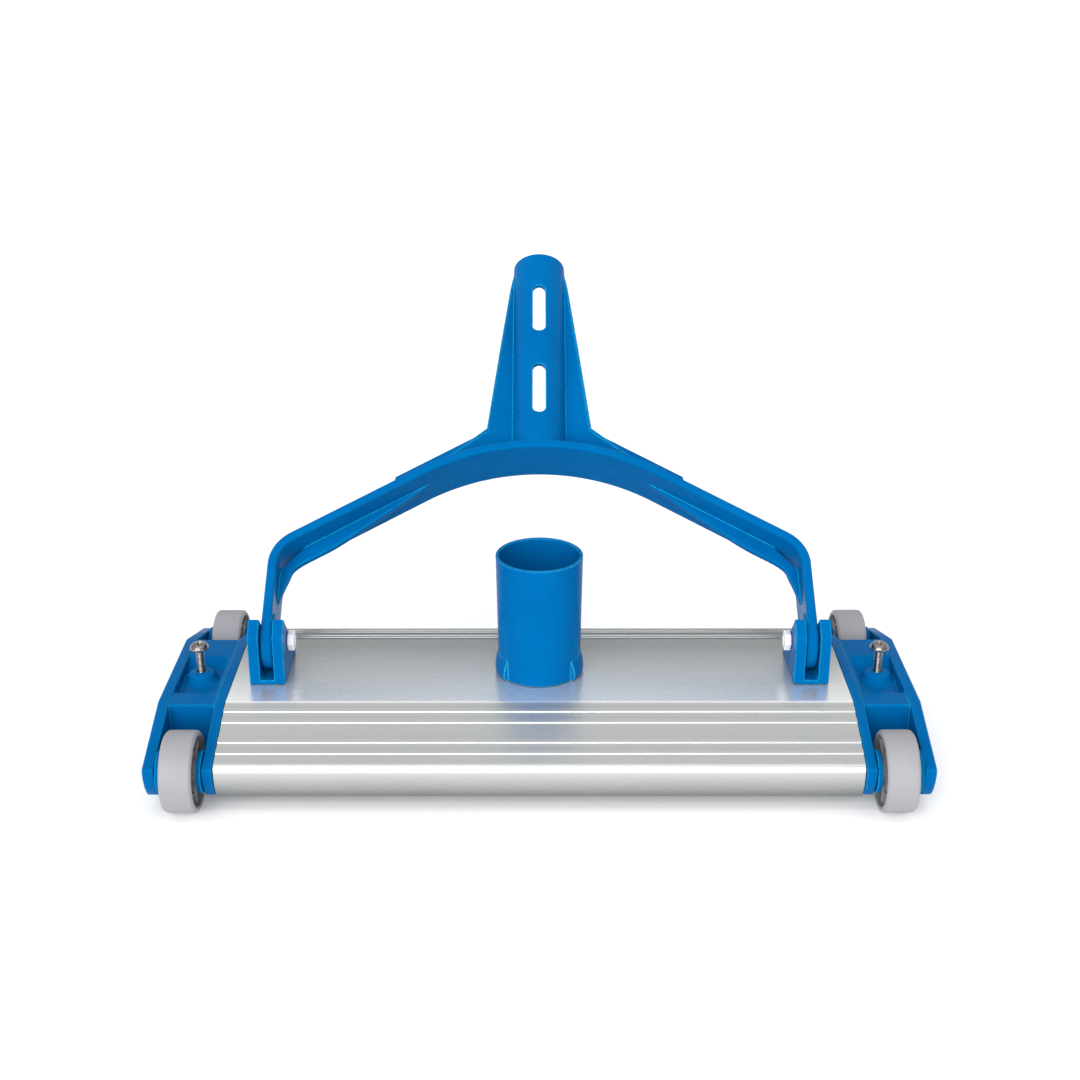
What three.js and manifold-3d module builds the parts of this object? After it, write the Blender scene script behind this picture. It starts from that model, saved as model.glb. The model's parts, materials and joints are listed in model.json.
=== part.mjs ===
// Manual vacuum head for swimming pools.
//
// A ribbed aluminium profile, open below, forms the suction chamber. A hose port stands on its middle.
// A yoke handle with a half-round pole cradle swings on two clevises. A bracket closes each end of the
// profile and guides a wheel carriage, which a screw moves up and down to set the head's height.
//
// Millimetres. X runs across the head, Y points to the back, Z points up, and the wheels stand on Z = 0.
// Inside this file Y = 0 is the hose port's axis. The last lines move the origin to the middle of the
// footprint.

import * as THREE from "three";
import { mergeVertices } from "three/addons/utils/BufferGeometryUtils.js";
import Module from "manifold-3d";

// ---------------------------------------------------------------- driving dimensions

const GAP = 0.3; // assembly gap between two pieces that rest on each other

const PLATE = {
  length: 350,
  top: 45,
  bottom: 9.5,
  halfFlat: 38.9, // from the centre line to the crease where the flank begins
  fall: 0.3259, // drop of the flank for each millimetre outwards
  wall: 2.6,
  lip: 9, // width of the inward lip along the bottom edge
  nose: { y: 80.3, z: 26.05, r: 5.2 },
  skirtRadius: 32, // curve of the face below the nose
  ribs: [[4.3, 8.2], [12.1, 16], [25.8, 29.9], [33.7, 37.5]], // start and end, measured from the crease
  ribHeight: 0.7,
};

const PORT = {
  rimZ: 117.6,
  rimRadius: 24.7,
  baseRadius: 23.4,
  wall: 1.9,
  spigotRadius: 20.8,
  boreRadius: 19,
  spigotBottom: 34,
  lugHalfWidth: 15.4,
  lugRadius: 25.3,
  lugTop: 53,
};

const HINGE = { y: -2, z: 64.4, pinRadius: 3, holeRadius: 3.25 };

const CLEVIS = {
  middle: 154.4, // distance of the fork's middle plane from the head's middle plane
  width: 20,
  slot: 7.8,
  floor: 2.7,
  front: -20,
  back: 24,
  shoulder: 74.2, // top of the vertical front face
  peak: { y: -11.6, z: 82.6 },
  stop: [9, 14], // front and back of the web that the leaning leg rests on
  pinHead: { radius: 5.8, thickness: 3.8 },
  retainerWell: { radius: 6.8, depth: 2 }, // in the outer face, round the pin's end
};

const HANDLE = {
  lean: 55, // degrees from upright, towards the back, when it lies on its stops
  depth: 32,
  strap: 5.6, // thickness of the yoke's strap
  eye: 7, // thickness of the rounded end of each leg
  cornerRadius: 25,
  armRise: 0.625, // rise of the arms for each millimetre towards the middle
  armLevel: 155.5, // height above the hinge where the arms' outer lines would meet
  archRadius: 136,
  ribThickness: 4,
  neckTop: 271.5,
  neckRim: { width: 2.4, back: -3.5, front: 9.5, below: 14 }, // "below" is how far it runs past the shoulder
  length: 281,
  cradleRadius: 16.9,
  cradleWall: 3,
  cradleFoot: 3.2, // thickness of the wall that closes the cradle's lower end
  cradleBack: 3, // how far the cradle's lips reach behind its axis
  cradleSet: -0.9, // how far the cradle's axis lies in front of the yoke's middle plane
  slotWidth: 8,
  slotLength: 38,
  slotCentres: [170.5, 235],
};

const BRACKET = {
  innerCheek: [PLATE.length / 2 + GAP, 181],
  outerCheek: [206.5, 212.7],
  bottom: 9.8,
  front: 87, // reach of the front face
  edgeY: 86.5, // where the flank meets the front face
  faceRadius: 26,
  wall: 2.7,
  wallFoot: 14, // lower edge of the deck's two end walls
  deckHalf: 41.3,
  deckUnderside: 34.4,
  deckTop: 43.7,
  pocket: { x: [183.4, 206.3], rim: [-26.5, 19], floor: [-18.5, 11], floorZ: 38.2 },
  armClearance: 0.8, // on both sides of each carriage arm
  armSlotTop: 28.2, // where the arms pass through the end walls
  bossRadius: 8,
  bossTop: 44,
  screwX: 196, // adjusting screw
  screwHole: 2.9, // through the top of the boss, above the insert
};

const CARRIAGE = {
  arms: [[181.4, 184], [203.1, 206.2]],
  armRadius: 11.7,
  armTop: 27.5, // between the end walls and the wheels
  top: 34,
  web: 4,
  halfLength: 38.2,
  endWall: { thickness: 2.4, bottom: 12 },
};

const WHEEL = {
  radius: 22.3,
  width: 17.5,
  x: 193.2,
  y: 76,
  boreRadius: 2.8,
  rim: 3.1,
  web: 1.5, // half the thickness of the disc between rim and hub
  hubRadius: 6.5,
  treadRound: 1.6,
};
const AXLE_RADIUS = 2.5;

// Adjusting screw, with the carriage at the top of its travel: the screw turns in the insert, and its neck
// turns in the carriage's web. The insert is pressed into the boss from below.
const SCREW = {
  radius: 2.4,
  neckRadius: 1.7,
  headRadius: 5.5,
  headBottom: 58.3,
  headTop: 62,
  tip: 27,
  cross: { reach: 2.8, half: 0.55, depth: 1.8 }, // the driver's recess
};
const INSERT = { inner: 2.6, outer: 4.2, bottom: 35.4, top: 42 };
const CLIP = { inner: 1.95, outer: 4.3, thickness: 1.1 };

const CLEVIS_SCREW = { radius: 1.7, holeRadius: 2.1, headRadius: 3.6, headHeight: 2.3, reach: 12 };
const BRACKET_SCREW = { x: 166, y: 76, radius: 1.7, headRadius: 3.4, cone: 1.7, length: 11 };
const TONGUE = { x: [157, 176], y: [71, 78.6], z: [12.5, 22] }; // bracket's peg inside the profile's edge

const FINISHES = {
  blue: { color: 0x0f6fc4, roughness: 0.38, metalness: 0 },
  aluminium: { color: 0xb9bcbb, roughness: 0.42, metalness: 0.9 },
  wheel: { color: 0xc8c4cd, roughness: 0.5, metalness: 0 },
  white: { color: 0xdedbe2, roughness: 0.45, metalness: 0 },
  rubber: { color: 0x1d1d1f, roughness: 0.8, metalness: 0 },
  steel: { color: 0xb9ad9d, roughness: 0.3, metalness: 1 },
  brass: { color: 0xb08d4a, roughness: 0.35, metalness: 1 },
};

// ---------------------------------------------------------------- solids

const wasm = await Module();
wasm.setup();

const FAR = 400; // beyond every piece: a cutter that reaches here passes right through
const ARC_STEP = Math.PI / 18;

function toSolid(geometry) {
  const bare = new THREE.BufferGeometry().setAttribute("position", geometry.getAttribute("position"));
  bare.setIndex(geometry.index);
  const merged = mergeVertices(bare, 1e-4);
  return new wasm.Manifold(
    new wasm.Mesh({
      numProp: 3,
      vertProperties: merged.getAttribute("position").array,
      triVerts: new Uint32Array(merged.index.array),
    }),
  );
}

function toGeometry(solid) {
  const { vertProperties, triVerts } = solid.getMesh();
  const geometry = new THREE.BufferGeometry();
  geometry.setAttribute("position", new THREE.BufferAttribute(vertProperties, 3));
  geometry.setIndex(new THREE.BufferAttribute(triVerts, 1));
  geometry.computeVertexNormals();
  return geometry;
}

const join = (first, ...rest) => rest.reduce((sum, solid) => sum.add(solid), first);
const cut = (first, ...rest) => rest.reduce((sum, solid) => sum.subtract(solid), first);

// A block between two limits along each axis.
function block([x0, x1], [y0, y1], [z0, z1]) {
  const geometry = new THREE.BoxGeometry(x1 - x0, y1 - y0, z1 - z0);
  return toSolid(geometry.translate((x0 + x1) / 2, (y0 + y1) / 2, (z0 + z1) / 2));
}

// A round bar along X or along Z.
function barX(radius, [x0, x1], y, z, sides = 16) {
  const geometry = new THREE.CylinderGeometry(radius, radius, x1 - x0, sides).rotateZ(-Math.PI / 2);
  return toSolid(geometry.translate((x0 + x1) / 2, y, z));
}

function barZ(radius, [z0, z1], x, y, sides = 16) {
  const geometry = new THREE.CylinderGeometry(radius, radius, z1 - z0, sides).rotateX(Math.PI / 2);
  return toSolid(geometry.translate(x, y, (z0 + z1) / 2));
}

// A side view, drawn as [y, z] points, stretched along X.
function profileX(points, [x0, x1]) {
  const outline = new THREE.Shape(points.map(([y, z]) => new THREE.Vector2(y, z)));
  const geometry = new THREE.ExtrudeGeometry(outline, { depth: x1 - x0, bevelEnabled: false });
  const turn = new THREE.Matrix4().makeBasis(
    new THREE.Vector3(0, 1, 0),
    new THREE.Vector3(0, 0, 1),
    new THREE.Vector3(1, 0, 0),
  );
  return toSolid(geometry.applyMatrix4(turn).translate(x0, 0, 0));
}

// A front view, drawn as a Shape in X and Y, stretched between two levels of Z.
function slab(outline, [z0, z1], curveSegments = 9) {
  const depth = z1 - z0;
  const geometry = new THREE.ExtrudeGeometry(outline, { depth, bevelEnabled: false, curveSegments });
  return toSolid(geometry.translate(0, 0, z0));
}

// [radius, height] points turned about an upright axis at x, y: up the outside and down the inside.
function turned(points, sides = 24, x = 0, y = 0) {
  const profile = points.map(([r, z]) => new THREE.Vector2(r, z));
  return toSolid(new THREE.LatheGeometry(profile, sides).rotateX(Math.PI / 2).translate(x, y, 0));
}

// The same about the X axis, with [radius, x] points.
function turnedX(points, sides = 24) {
  const profile = points.map(([r, x]) => new THREE.Vector2(r, x));
  return toSolid(new THREE.LatheGeometry(profile, sides).rotateZ(-Math.PI / 2));
}

// A ring about an upright axis.
const ring = (inner, outer, [z0, z1], sides = 14) =>
  turned([[inner, z0], [outer, z0], [outer, z1], [inner, z1], [inner, z0]], sides);

// Points along an arc, as [horizontal, vertical], with both ends.
function arc(centre, radius, from, to) {
  const steps = Math.max(2, Math.ceil(Math.abs(to - from) / ARC_STEP));
  return Array.from({ length: steps + 1 }, (_, i) => {
    const angle = from + ((to - from) * i) / steps;
    return [centre[0] + radius * Math.cos(angle), centre[1] + radius * Math.sin(angle)];
  });
}

// A right-hand half outline and its mirror image, as one closed outline.
const mirrored = (half) => [...half, ...half.map(([y, z]) => [-y, z]).reverse()];

// A span of Y, given by its two distances from the middle, towards the front (end -1) or the rear (end 1).
const towards = (end, [near, far]) => (end > 0 ? [near, far] : [-far, -near]);

const degrees = THREE.MathUtils.degToRad;

// ---------------------------------------------------------------- assembly tree

const head = new THREE.Group();
const SIDES = [["left", -1], ["right", 1]];
const ENDS = [["front", -1], ["rear", 1]];

// Adds one piece at its place. Side -1 mirrors a piece that was drawn on the right.
function add(name, solid, finish, { parent = head, side = 1, at = [0, 0, 0] } = {}) {
  const mesh = new THREE.Mesh(toGeometry(solid), new THREE.MeshStandardMaterial(FINISHES[finish]));
  mesh.name = name;
  mesh.scale.x = side;
  mesh.position.set(side * at[0], at[1], at[2]);
  parent.add(mesh);
}

// ---------------------------------------------------------------- aluminium profile

const FLANK = Math.atan(PLATE.fall);
const PLATE_UNDERSIDE = PLATE.top - PLATE.wall;
const SEAT = PLATE.top + GAP; // where the pieces on the plate begin
const CLEVIS_SCREW_X = [-1, 1].map((cheek) => CLEVIS.middle + (cheek * (CLEVIS.slot + CLEVIS.width)) / 4);

function plateOutline() {
  const { halfFlat, top, bottom, fall, wall, lip, nose, skirtRadius, ribs, ribHeight } = PLATE;
  const flank = (distance, height) => [
    halfFlat + distance + height * Math.sin(FLANK),
    top - fall * distance + height * Math.cos(FLANK),
  ];
  const skirtCentre = [nose.y + nose.r - skirtRadius, nose.z];
  const skirtEnd = (radius, level) => -Math.asin((nose.z - level) / radius);
  const noseTop = Math.PI / 2 - FLANK;
  const outerSkirt = arc(skirtCentre, skirtRadius, 0, skirtEnd(skirtRadius, bottom));
  const innerRadius = skirtRadius - wall;
  const lipEdge = outerSkirt.at(-1)[0] - lip;
  return mirrored([
    [halfFlat, top],
    ...ribs.flatMap(([a, b]) => [flank(a, 0), flank(a, ribHeight), flank(b, ribHeight), flank(b, 0)]),
    ...arc([nose.y, nose.z], nose.r, noseTop, 0),
    ...outerSkirt.slice(1),
    [lipEdge, bottom],
    [lipEdge, bottom + wall],
    ...arc(skirtCentre, innerRadius, skirtEnd(innerRadius, bottom + wall), 0),
    ...arc([nose.y, nose.z], nose.r - wall, 0, noseTop).slice(1),
    [halfFlat - wall * Math.tan(FLANK / 2), top - wall],
  ]);
}

// A countersunk screw, head down and flush with the profile's bottom face, or the hole that clears it.
function bracketScrew(x, y, clearance = 0) {
  const { radius, headRadius, cone, length } = BRACKET_SCREW;
  const flush = PLATE.bottom + (clearance ? 0 : 0.2);
  const low = flush - (clearance ? 1 : 0);
  const top = PLATE.bottom + length + clearance;
  const shank = radius + clearance;
  const wide = headRadius + clearance;
  const mouth = clearance ? [[wide, low], [wide, flush]] : [[wide, flush]];
  return turned([[0, low], ...mouth, [shank, flush + cone], [shank, top], [0, top]], 12, x, y);
}

function bodyExtrusion() {
  const plate = profileX(plateOutline(), [-PLATE.length / 2, PLATE.length / 2]);
  const through = [PLATE_UNDERSIDE - 1, PLATE.top + 1];
  const portHole = barZ(PORT.spigotRadius + 0.4, through, 0, 0, 24);
  const clevisHoles = SIDES.flatMap(([, side]) =>
    CLEVIS_SCREW_X.map((x) => barZ(CLEVIS_SCREW.holeRadius, through, side * x, 0, 12)),
  );
  const bracketHoles = SIDES.flatMap(([, side]) =>
    ENDS.map(([, end]) => bracketScrew(side * BRACKET_SCREW.x, end * BRACKET_SCREW.y, GAP)),
  );
  return cut(plate, portHole, ...clevisHoles, ...bracketHoles);
}

add("body_extrusion", bodyExtrusion(), "aluminium");

// ---------------------------------------------------------------- hose port

const NUT = { top: 40.8, bottom: 35.6, radius: 29, bore: PORT.spigotRadius + 0.35 };

function hosePort() {
  const { rimZ, rimRadius, baseRadius, wall, spigotRadius, boreRadius, spigotBottom } = PORT;
  const lipRadius = rimRadius - wall;
  const tube = turned([
    [spigotRadius, spigotBottom],
    [spigotRadius, SEAT],
    [baseRadius - 0.5, SEAT],
    [baseRadius, SEAT + 1],
    [rimRadius, rimZ - 0.6],
    [rimRadius - 0.5, rimZ],
    [lipRadius + 0.4, rimZ],
    [lipRadius, rimZ - 0.6],
    [baseRadius - wall, SEAT + 8],
    [boreRadius, SEAT + 4],
    [boreRadius, spigotBottom],
    [spigotRadius, spigotBottom],
  ], 30);
  const { lugHalfWidth, lugRadius, lugTop } = PORT;
  const rounding = 3;
  const bead = turned([
    [baseRadius - 1, SEAT],
    ...arc([lugRadius - rounding, SEAT + rounding], rounding, -Math.PI / 2 + 0.4, 0),
    [lugRadius, lugTop - 3],
    [baseRadius - 1, lugTop],
    [baseRadius - 1, SEAT],
  ], 30);
  const lugs = bead.intersect(block([-FAR, FAR], [-lugHalfWidth, lugHalfWidth], [0, FAR]));
  return join(tube, lugs);
}

function lockNut() {
  const { top, bottom, radius, bore } = NUT;
  return cut(barZ(radius, [bottom, top], 0, 0, 8), barZ(bore, [bottom - 1, top + 1], 0, 0, 24));
}

add("hose_port", hosePort(), "blue");
add("hose_port_gasket", ring(NUT.bore, 27, [NUT.top + GAP, PLATE_UNDERSIDE - GAP], 24), "rubber");
add("hose_port_locknut", lockNut(), "blue");

// ---------------------------------------------------------------- clevises and hinge pins

const LEAN = degrees(HANDLE.lean);
const CLEVIS_X = [CLEVIS.middle - CLEVIS.width / 2, CLEVIS.middle + CLEVIS.width / 2];
const CLEVIS_SLOT_X = [CLEVIS.middle - CLEVIS.slot / 2, CLEVIS.middle + CLEVIS.slot / 2];

// Height of the leaning leg's lower face, less the gap that it keeps to its stop.
function stopHeight(y) {
  const halfDepth = HANDLE.depth / 2;
  const along = (y - HINGE.y - halfDepth * Math.cos(LEAN)) / Math.sin(LEAN);
  return HINGE.z - halfDepth * Math.sin(LEAN) + along * Math.cos(LEAN) - GAP / Math.sin(LEAN);
}

function clevis() {
  const { front, back, shoulder, peak, floor } = CLEVIS;
  const side = [[front, SEAT], [back, SEAT], [peak.y, peak.z], [front, shoulder]];
  const slot = block(CLEVIS_SLOT_X, [-FAR, FAR], [SEAT + floor, FAR]);
  const [stopFront, stopBack] = CLEVIS.stop;
  const stop = profileX([
    [stopFront, SEAT + 1],
    [stopBack, SEAT + 1],
    [stopBack, stopHeight(stopBack)],
    [stopFront, stopHeight(stopFront)],
  ], [CLEVIS_SLOT_X[0] - 1, CLEVIS_SLOT_X[1] + 1]);
  const screwHoles = CLEVIS_SCREW_X.map((x) =>
    barZ(CLEVIS_SCREW.radius + GAP, [SEAT - 1, SEAT + CLEVIS_SCREW.reach + 1], x, 0, 12),
  );
  const pinHole = barX(HINGE.holeRadius, [0, FAR], HINGE.y, HINGE.z);
  const { radius, depth } = CLEVIS.retainerWell;
  const well = barX(radius, [CLEVIS_X[1] - depth, FAR], HINGE.y, HINGE.z, 24);
  return cut(join(cut(profileX(side, CLEVIS_X), slot), stop), pinHole, well, ...screwHoles);
}

function clevisScrew() {
  const { radius, headRadius, headHeight, reach } = CLEVIS_SCREW;
  const under = PLATE_UNDERSIDE - GAP;
  const low = under - headHeight;
  const tip = SEAT + reach;
  return turned([
    [0, low],
    [headRadius - 1, low],
    [headRadius, low + 1],
    [headRadius, under],
    [radius, under],
    [radius, tip],
    [0, tip],
  ], 12);
}

function hingePin() {
  const { radius, thickness } = CLEVIS.pinHead;
  const headOuter = CLEVIS_X[0] - GAP;
  const hexagon = barX(radius, [headOuter - thickness, headOuter], 0, 0, 6);
  return join(hexagon, barX(HINGE.pinRadius, [headOuter - 1, CLEVIS_X[1] - 0.2], 0, 0, 16));
}

function pinRetainer() {
  const inner = HINGE.pinRadius + 0.1;
  const x0 = CLEVIS_X[1] - CLEVIS.retainerWell.depth + GAP;
  const x1 = x0 + 1.3;
  return turnedX([[inner, x0], [6, x0], [5.2, x1], [inner, x1], [inner, x0]], 16);
}

const hingeLine = [0, HINGE.y, HINGE.z];
for (const [name, side] of SIDES) {
  add(`${name}_clevis`, clevis(), "blue", { side });
  ["inner", "outer"].forEach((place, i) =>
    add(`${name}_clevis_${place}_screw`, clevisScrew(), "steel", { side, at: [CLEVIS_SCREW_X[i], 0, 0] }),
  );
  add(`${name}_hinge_pin`, hingePin(), "white", { side, at: hingeLine });
  add(`${name}_pin_retainer`, pinRetainer(), "steel", { side, at: hingeLine });
}

// ---------------------------------------------------------------- yoke handle

// Drawn upright in a frame of its own: X across, Y along the handle from the hinge, Z out of its front.
const LEG_OUTER = CLEVIS.middle + HANDLE.eye / 2;
const LEG_INNER = LEG_OUTER - HANDLE.strap;
const ARM_ANGLE = Math.atan2(1, HANDLE.armRise); // direction of the arms' outward normal
const ARM_STRETCH = Math.hypot(1, HANDLE.armRise); // upright distance for 1 mm square to the arms
const armLine = (x, depth) => HANDLE.armLevel - HANDLE.armRise * x - depth * ARM_STRETCH;
const CORNER = {
  x: LEG_OUTER - HANDLE.cornerRadius,
  y: armLine(LEG_OUTER - HANDLE.cornerRadius, HANDLE.cornerRadius),
};
const ARCH_CENTRE = HANDLE.armLevel - HANDLE.archRadius * ARM_STRETCH;
const CRADLE_BORE = HANDLE.cradleRadius - HANDLE.cradleWall;

// The yoke's strap: two legs, two rounded corners, two arms and the arch between them.
function strap() {
  const { cornerRadius, archRadius, strap: thickness, depth } = HANDLE;
  const outline = new THREE.Shape();
  const left = Math.PI - ARM_ANGLE;
  outline.moveTo(LEG_OUTER, 0);
  outline.lineTo(LEG_OUTER, CORNER.y);
  outline.absarc(CORNER.x, CORNER.y, cornerRadius, 0, ARM_ANGLE, false);
  outline.absarc(0, ARCH_CENTRE, archRadius, ARM_ANGLE, left, false);
  outline.absarc(-CORNER.x, CORNER.y, cornerRadius, left, Math.PI, false);
  outline.lineTo(-LEG_OUTER, 0);
  outline.lineTo(-LEG_INNER, 0);
  outline.absarc(-CORNER.x, CORNER.y, cornerRadius - thickness, Math.PI, left, true);
  outline.absarc(0, ARCH_CENTRE, archRadius - thickness, left, ARM_ANGLE, true);
  outline.absarc(CORNER.x, CORNER.y, cornerRadius - thickness, ARM_ANGLE, 0, true);
  outline.lineTo(LEG_INNER, 0);
  return slab(outline, [-depth / 2, depth / 2]);
}

// A thin rib on the mid-plane, inside each corner of the yoke.
function cornerRib(side) {
  const inside = (x, depth) => [x, armLine(x, HANDLE.strap + depth)];
  const foot = 24;
  const tip = 64;
  const rooted = HANDLE.strap / 2; // how deep the rib reaches into the strap
  const crest = [
    [LEG_INNER - 0.5, foot],
    [147, 39],
    [141.9, 48.8],
    inside(120, 9),
    inside(92, 4.6),
    inside(tip, 0),
  ];
  const core = [
    inside(tip, -rooted),
    inside(CORNER.x, -rooted),
    [LEG_INNER + rooted, CORNER.y],
    [LEG_INNER + rooted, foot],
  ];
  const outline = new THREE.Shape();
  const place = ([x, y]) => new THREE.Vector2(side * x, y);
  outline.moveTo(...place(crest[0]));
  outline.splineThru(crest.slice(1).map(place));
  core.forEach((point) => outline.lineTo(...place(point)));
  return slab(outline, [-HANDLE.ribThickness / 2, HANDLE.ribThickness / 2], 3);
}

// The flat web that carries the arms' load up both sides of the cradle.
const WEB = { tip: 88, tipLevel: 112.5, shoulder: 32.2, shoulderLevel: 147.4, topHalf: 17.6, foot: 97.5 };

function neckWeb() {
  const { tip, tipLevel, shoulder, shoulderLevel, topHalf, foot } = WEB;
  const middle = HANDLE.archRadius - HANDLE.strap / 2;
  const outline = new THREE.Shape();
  outline.moveTo(tip, foot);
  outline.lineTo(tip, tipLevel);
  outline.lineTo(shoulder, shoulderLevel);
  outline.lineTo(topHalf, HANDLE.neckTop);
  outline.lineTo(-topHalf, HANDLE.neckTop);
  outline.lineTo(-shoulder, shoulderLevel);
  outline.lineTo(-tip, tipLevel);
  outline.lineTo(-tip, foot);
  outline.absarc(0, ARCH_CENTRE, middle, Math.PI - ARM_ANGLE, ARM_ANGLE, true);
  return slab(outline, [-HANDLE.ribThickness / 2, HANDLE.ribThickness / 2]);
}

// The raised rim along each sloping edge of the neck.
function neckRim(side) {
  const { shoulder, shoulderLevel, topHalf } = WEB;
  const { width, back, front, below } = HANDLE.neckRim;
  const outline = new THREE.Shape([
    new THREE.Vector2(side * shoulder, shoulderLevel),
    new THREE.Vector2(side * topHalf, HANDLE.neckTop),
    new THREE.Vector2(side * (topHalf - width), HANDLE.neckTop),
    new THREE.Vector2(side * (shoulder - width), shoulderLevel - below),
    new THREE.Vector2(side * shoulder, shoulderLevel - below),
  ]);
  return slab(outline, [back, front]);
}

// A round bar on the cradle's axis, along the handle.
function barAlong(radius, [y0, y1], sides) {
  const geometry = new THREE.CylinderGeometry(radius, radius, y1 - y0, sides);
  return toSolid(geometry.translate(0, (y0 + y1) / 2, HANDLE.cradleSet));
}

// A round-ended slot through the cradle's wall, along the handle.
function boltSlot(centre) {
  const { slotWidth, slotLength } = HANDLE;
  const half = slotLength / 2 - slotWidth / 2;
  const outline = new THREE.Shape();
  outline.absarc(0, centre + half, slotWidth / 2, 0, Math.PI, false);
  outline.absarc(0, centre - half, slotWidth / 2, Math.PI, 2 * Math.PI, false);
  return slab(outline, [0, FAR], 8);
}

function handle() {
  const { cradleRadius, cradleFoot, cradleBack, cradleSet, length, depth, eye } = HANDLE;
  const foot = ARCH_CENTRE + HANDLE.archRadius - HANDLE.strap / 2;
  const seat = foot + cradleFoot;
  const sides = 32;
  const openBack = block([-CRADLE_BORE, CRADLE_BORE], [seat, FAR], [-FAR, cradleSet]);
  const half = block([-FAR, FAR], [0, FAR], [cradleSet - cradleBack, FAR]);
  const tube = barAlong(cradleRadius, [foot, length], sides).intersect(half);
  const bore = barAlong(CRADLE_BORE, [seat, length + 1], sides);
  const eyes = [-1, 1].map((side) =>
    barX(depth / 2, side > 0 ? [LEG_OUTER - eye, LEG_OUTER] : [-LEG_OUTER, eye - LEG_OUTER], 0, 0, 32),
  );
  const paired = [-1, 1].flatMap((side) => [cornerRib(side), neckRim(side)]);
  const outside = join(strap(), ...eyes, ...paired, neckWeb(), tube);
  const pinHoles = barX(HINGE.holeRadius, [-FAR, FAR], 0, 0);
  return cut(outside, bore, openBack, pinHoles, ...HANDLE.slotCentres.map(boltSlot));
}

const handleFrame = new THREE.Group();
handleFrame.position.set(...hingeLine);
handleFrame.rotation.x = Math.PI / 2 - LEAN;
head.add(handleFrame);
add("handle", handle(), "blue", { parent: handleFrame });

// ---------------------------------------------------------------- end brackets

// Outline of the bracket's cheeks, flush with the plate's profile.
function cheekOutline() {
  const { bottom, front, edgeY, faceRadius } = BRACKET;
  const edgeZ = PLATE.top - PLATE.fall * (edgeY - PLATE.halfFlat);
  const faceTop = edgeZ - 1.8;
  const centre = [front - faceRadius, faceTop];
  const face = arc(centre, faceRadius, 0, -Math.asin((faceTop - bottom) / faceRadius));
  const brow = [[edgeY - 0.9, edgeZ + 0.3], [edgeY, edgeZ - 0.4]];
  return mirrored([[PLATE.halfFlat, PLATE.top], ...brow, ...face]);
}

function endBracket() {
  const { innerCheek, outerCheek, wall, wallFoot, deckHalf, deckUnderside, deckTop } = BRACKET;
  const { pocket, armClearance, armSlotTop } = BRACKET;
  const { bossRadius, bossTop, screwX, screwHole } = BRACKET;
  const inside = [innerCheek[1], outerCheek[0]];
  const wells = ENDS.map(([, end]) => block(inside, towards(end, [deckHalf, FAR]), [0, FAR]));
  const carriageBay = block(inside, [wall - deckHalf, deckHalf - wall], [0, deckUnderside]);
  const armSlots = CARRIAGE.arms.flatMap(([x0, x1]) => {
    const across = [x0 - armClearance, x1 + armClearance];
    const beside = ENDS.map(([, end]) => block(across, towards(end, [deckHalf, FAR]), [0, deckUnderside]));
    return [
      block(across, [-FAR, FAR], [0, armSlotTop]),
      block(across, [wall - deckHalf, deckHalf - wall], [0, deckUnderside]),
      ...beside,
    ];
  });
  const belowWalls = block(inside, [-deckHalf, deckHalf], [0, wallFoot]);
  const overDeck = block(inside, [-deckHalf, deckHalf], [deckTop, FAR]);
  const dip = profileX([
    [pocket.rim[0], deckTop],
    [pocket.floor[0], pocket.floorZ],
    [pocket.floor[1], pocket.floorZ],
    [pocket.rim[1], deckTop],
    [pocket.rim[1], FAR],
    [pocket.rim[0], FAR],
  ], pocket.x);
  const cheeks = profileX(cheekOutline(), [innerCheek[0], outerCheek[1]]);
  const boss = barZ(bossRadius, [deckUnderside, bossTop], screwX, 0, 24);
  const insertHole = barZ(INSERT.outer + GAP, [0, INSERT.top + GAP], screwX, 0, 16);
  const throughHole = barZ(screwHole, [0, FAR], screwX, 0, 16);
  const tongues = ENDS.map(([, end]) => {
    const tongue = block(TONGUE.x, towards(end, TONGUE.y), TONGUE.z);
    return cut(tongue, bracketScrew(BRACKET_SCREW.x, end * BRACKET_SCREW.y, GAP));
  });
  const shell = cut(cheeks, ...wells, carriageBay, ...armSlots, belowWalls, overDeck, dip);
  return cut(join(shell, boss, ...tongues), insertHole, throughHole);
}

for (const [name, side] of SIDES) {
  add(`${name}_end_bracket`, endBracket(), "blue", { side });
  for (const [place, end] of ENDS) {
    const at = [BRACKET_SCREW.x, end * BRACKET_SCREW.y, 0];
    add(`${name}_bracket_${place}_screw`, bracketScrew(0, 0), "steel", { side, at });
  }
  const { inner, outer, bottom, top } = INSERT;
  add(`${name}_threaded_insert`, ring(inner, outer, [bottom, top], 16), "brass", {
    side,
    at: [BRACKET.screwX, 0, 0],
  });
}

// ---------------------------------------------------------------- wheel carriages

function carriage() {
  const { arms, armRadius, armTop, top, web, halfLength, endWall } = CARRIAGE;
  const axleHeight = WHEEL.radius;
  const shoulder = Math.asin((armTop - axleHeight) / armRadius);
  const armOutline = mirrored([
    [halfLength, top],
    [halfLength, armTop],
    ...arc([WHEEL.y, axleHeight], armRadius, Math.PI - shoulder, -Math.PI / 2),
  ]);
  const plates = arms.map((span) => profileX(armOutline, span));
  const across = [arms[0][0] + 1, arms[1][1] - 1];
  const deck = block(across, [-halfLength, halfLength], [top - web, top]);
  const endWalls = ENDS.map(([, end]) =>
    block(across, towards(end, [halfLength - endWall.thickness, halfLength]), [endWall.bottom, top]),
  );
  const axleHoles = ENDS.map(([, end]) =>
    barX(AXLE_RADIUS + 0.2, [0, FAR], end * WHEEL.y, axleHeight, 12),
  );
  const neckHole = barZ(SCREW.neckRadius + 0.3, [0, FAR], BRACKET.screwX, 0, 12);
  return cut(join(...plates, deck, ...endWalls), ...axleHoles, neckHole);
}

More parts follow.
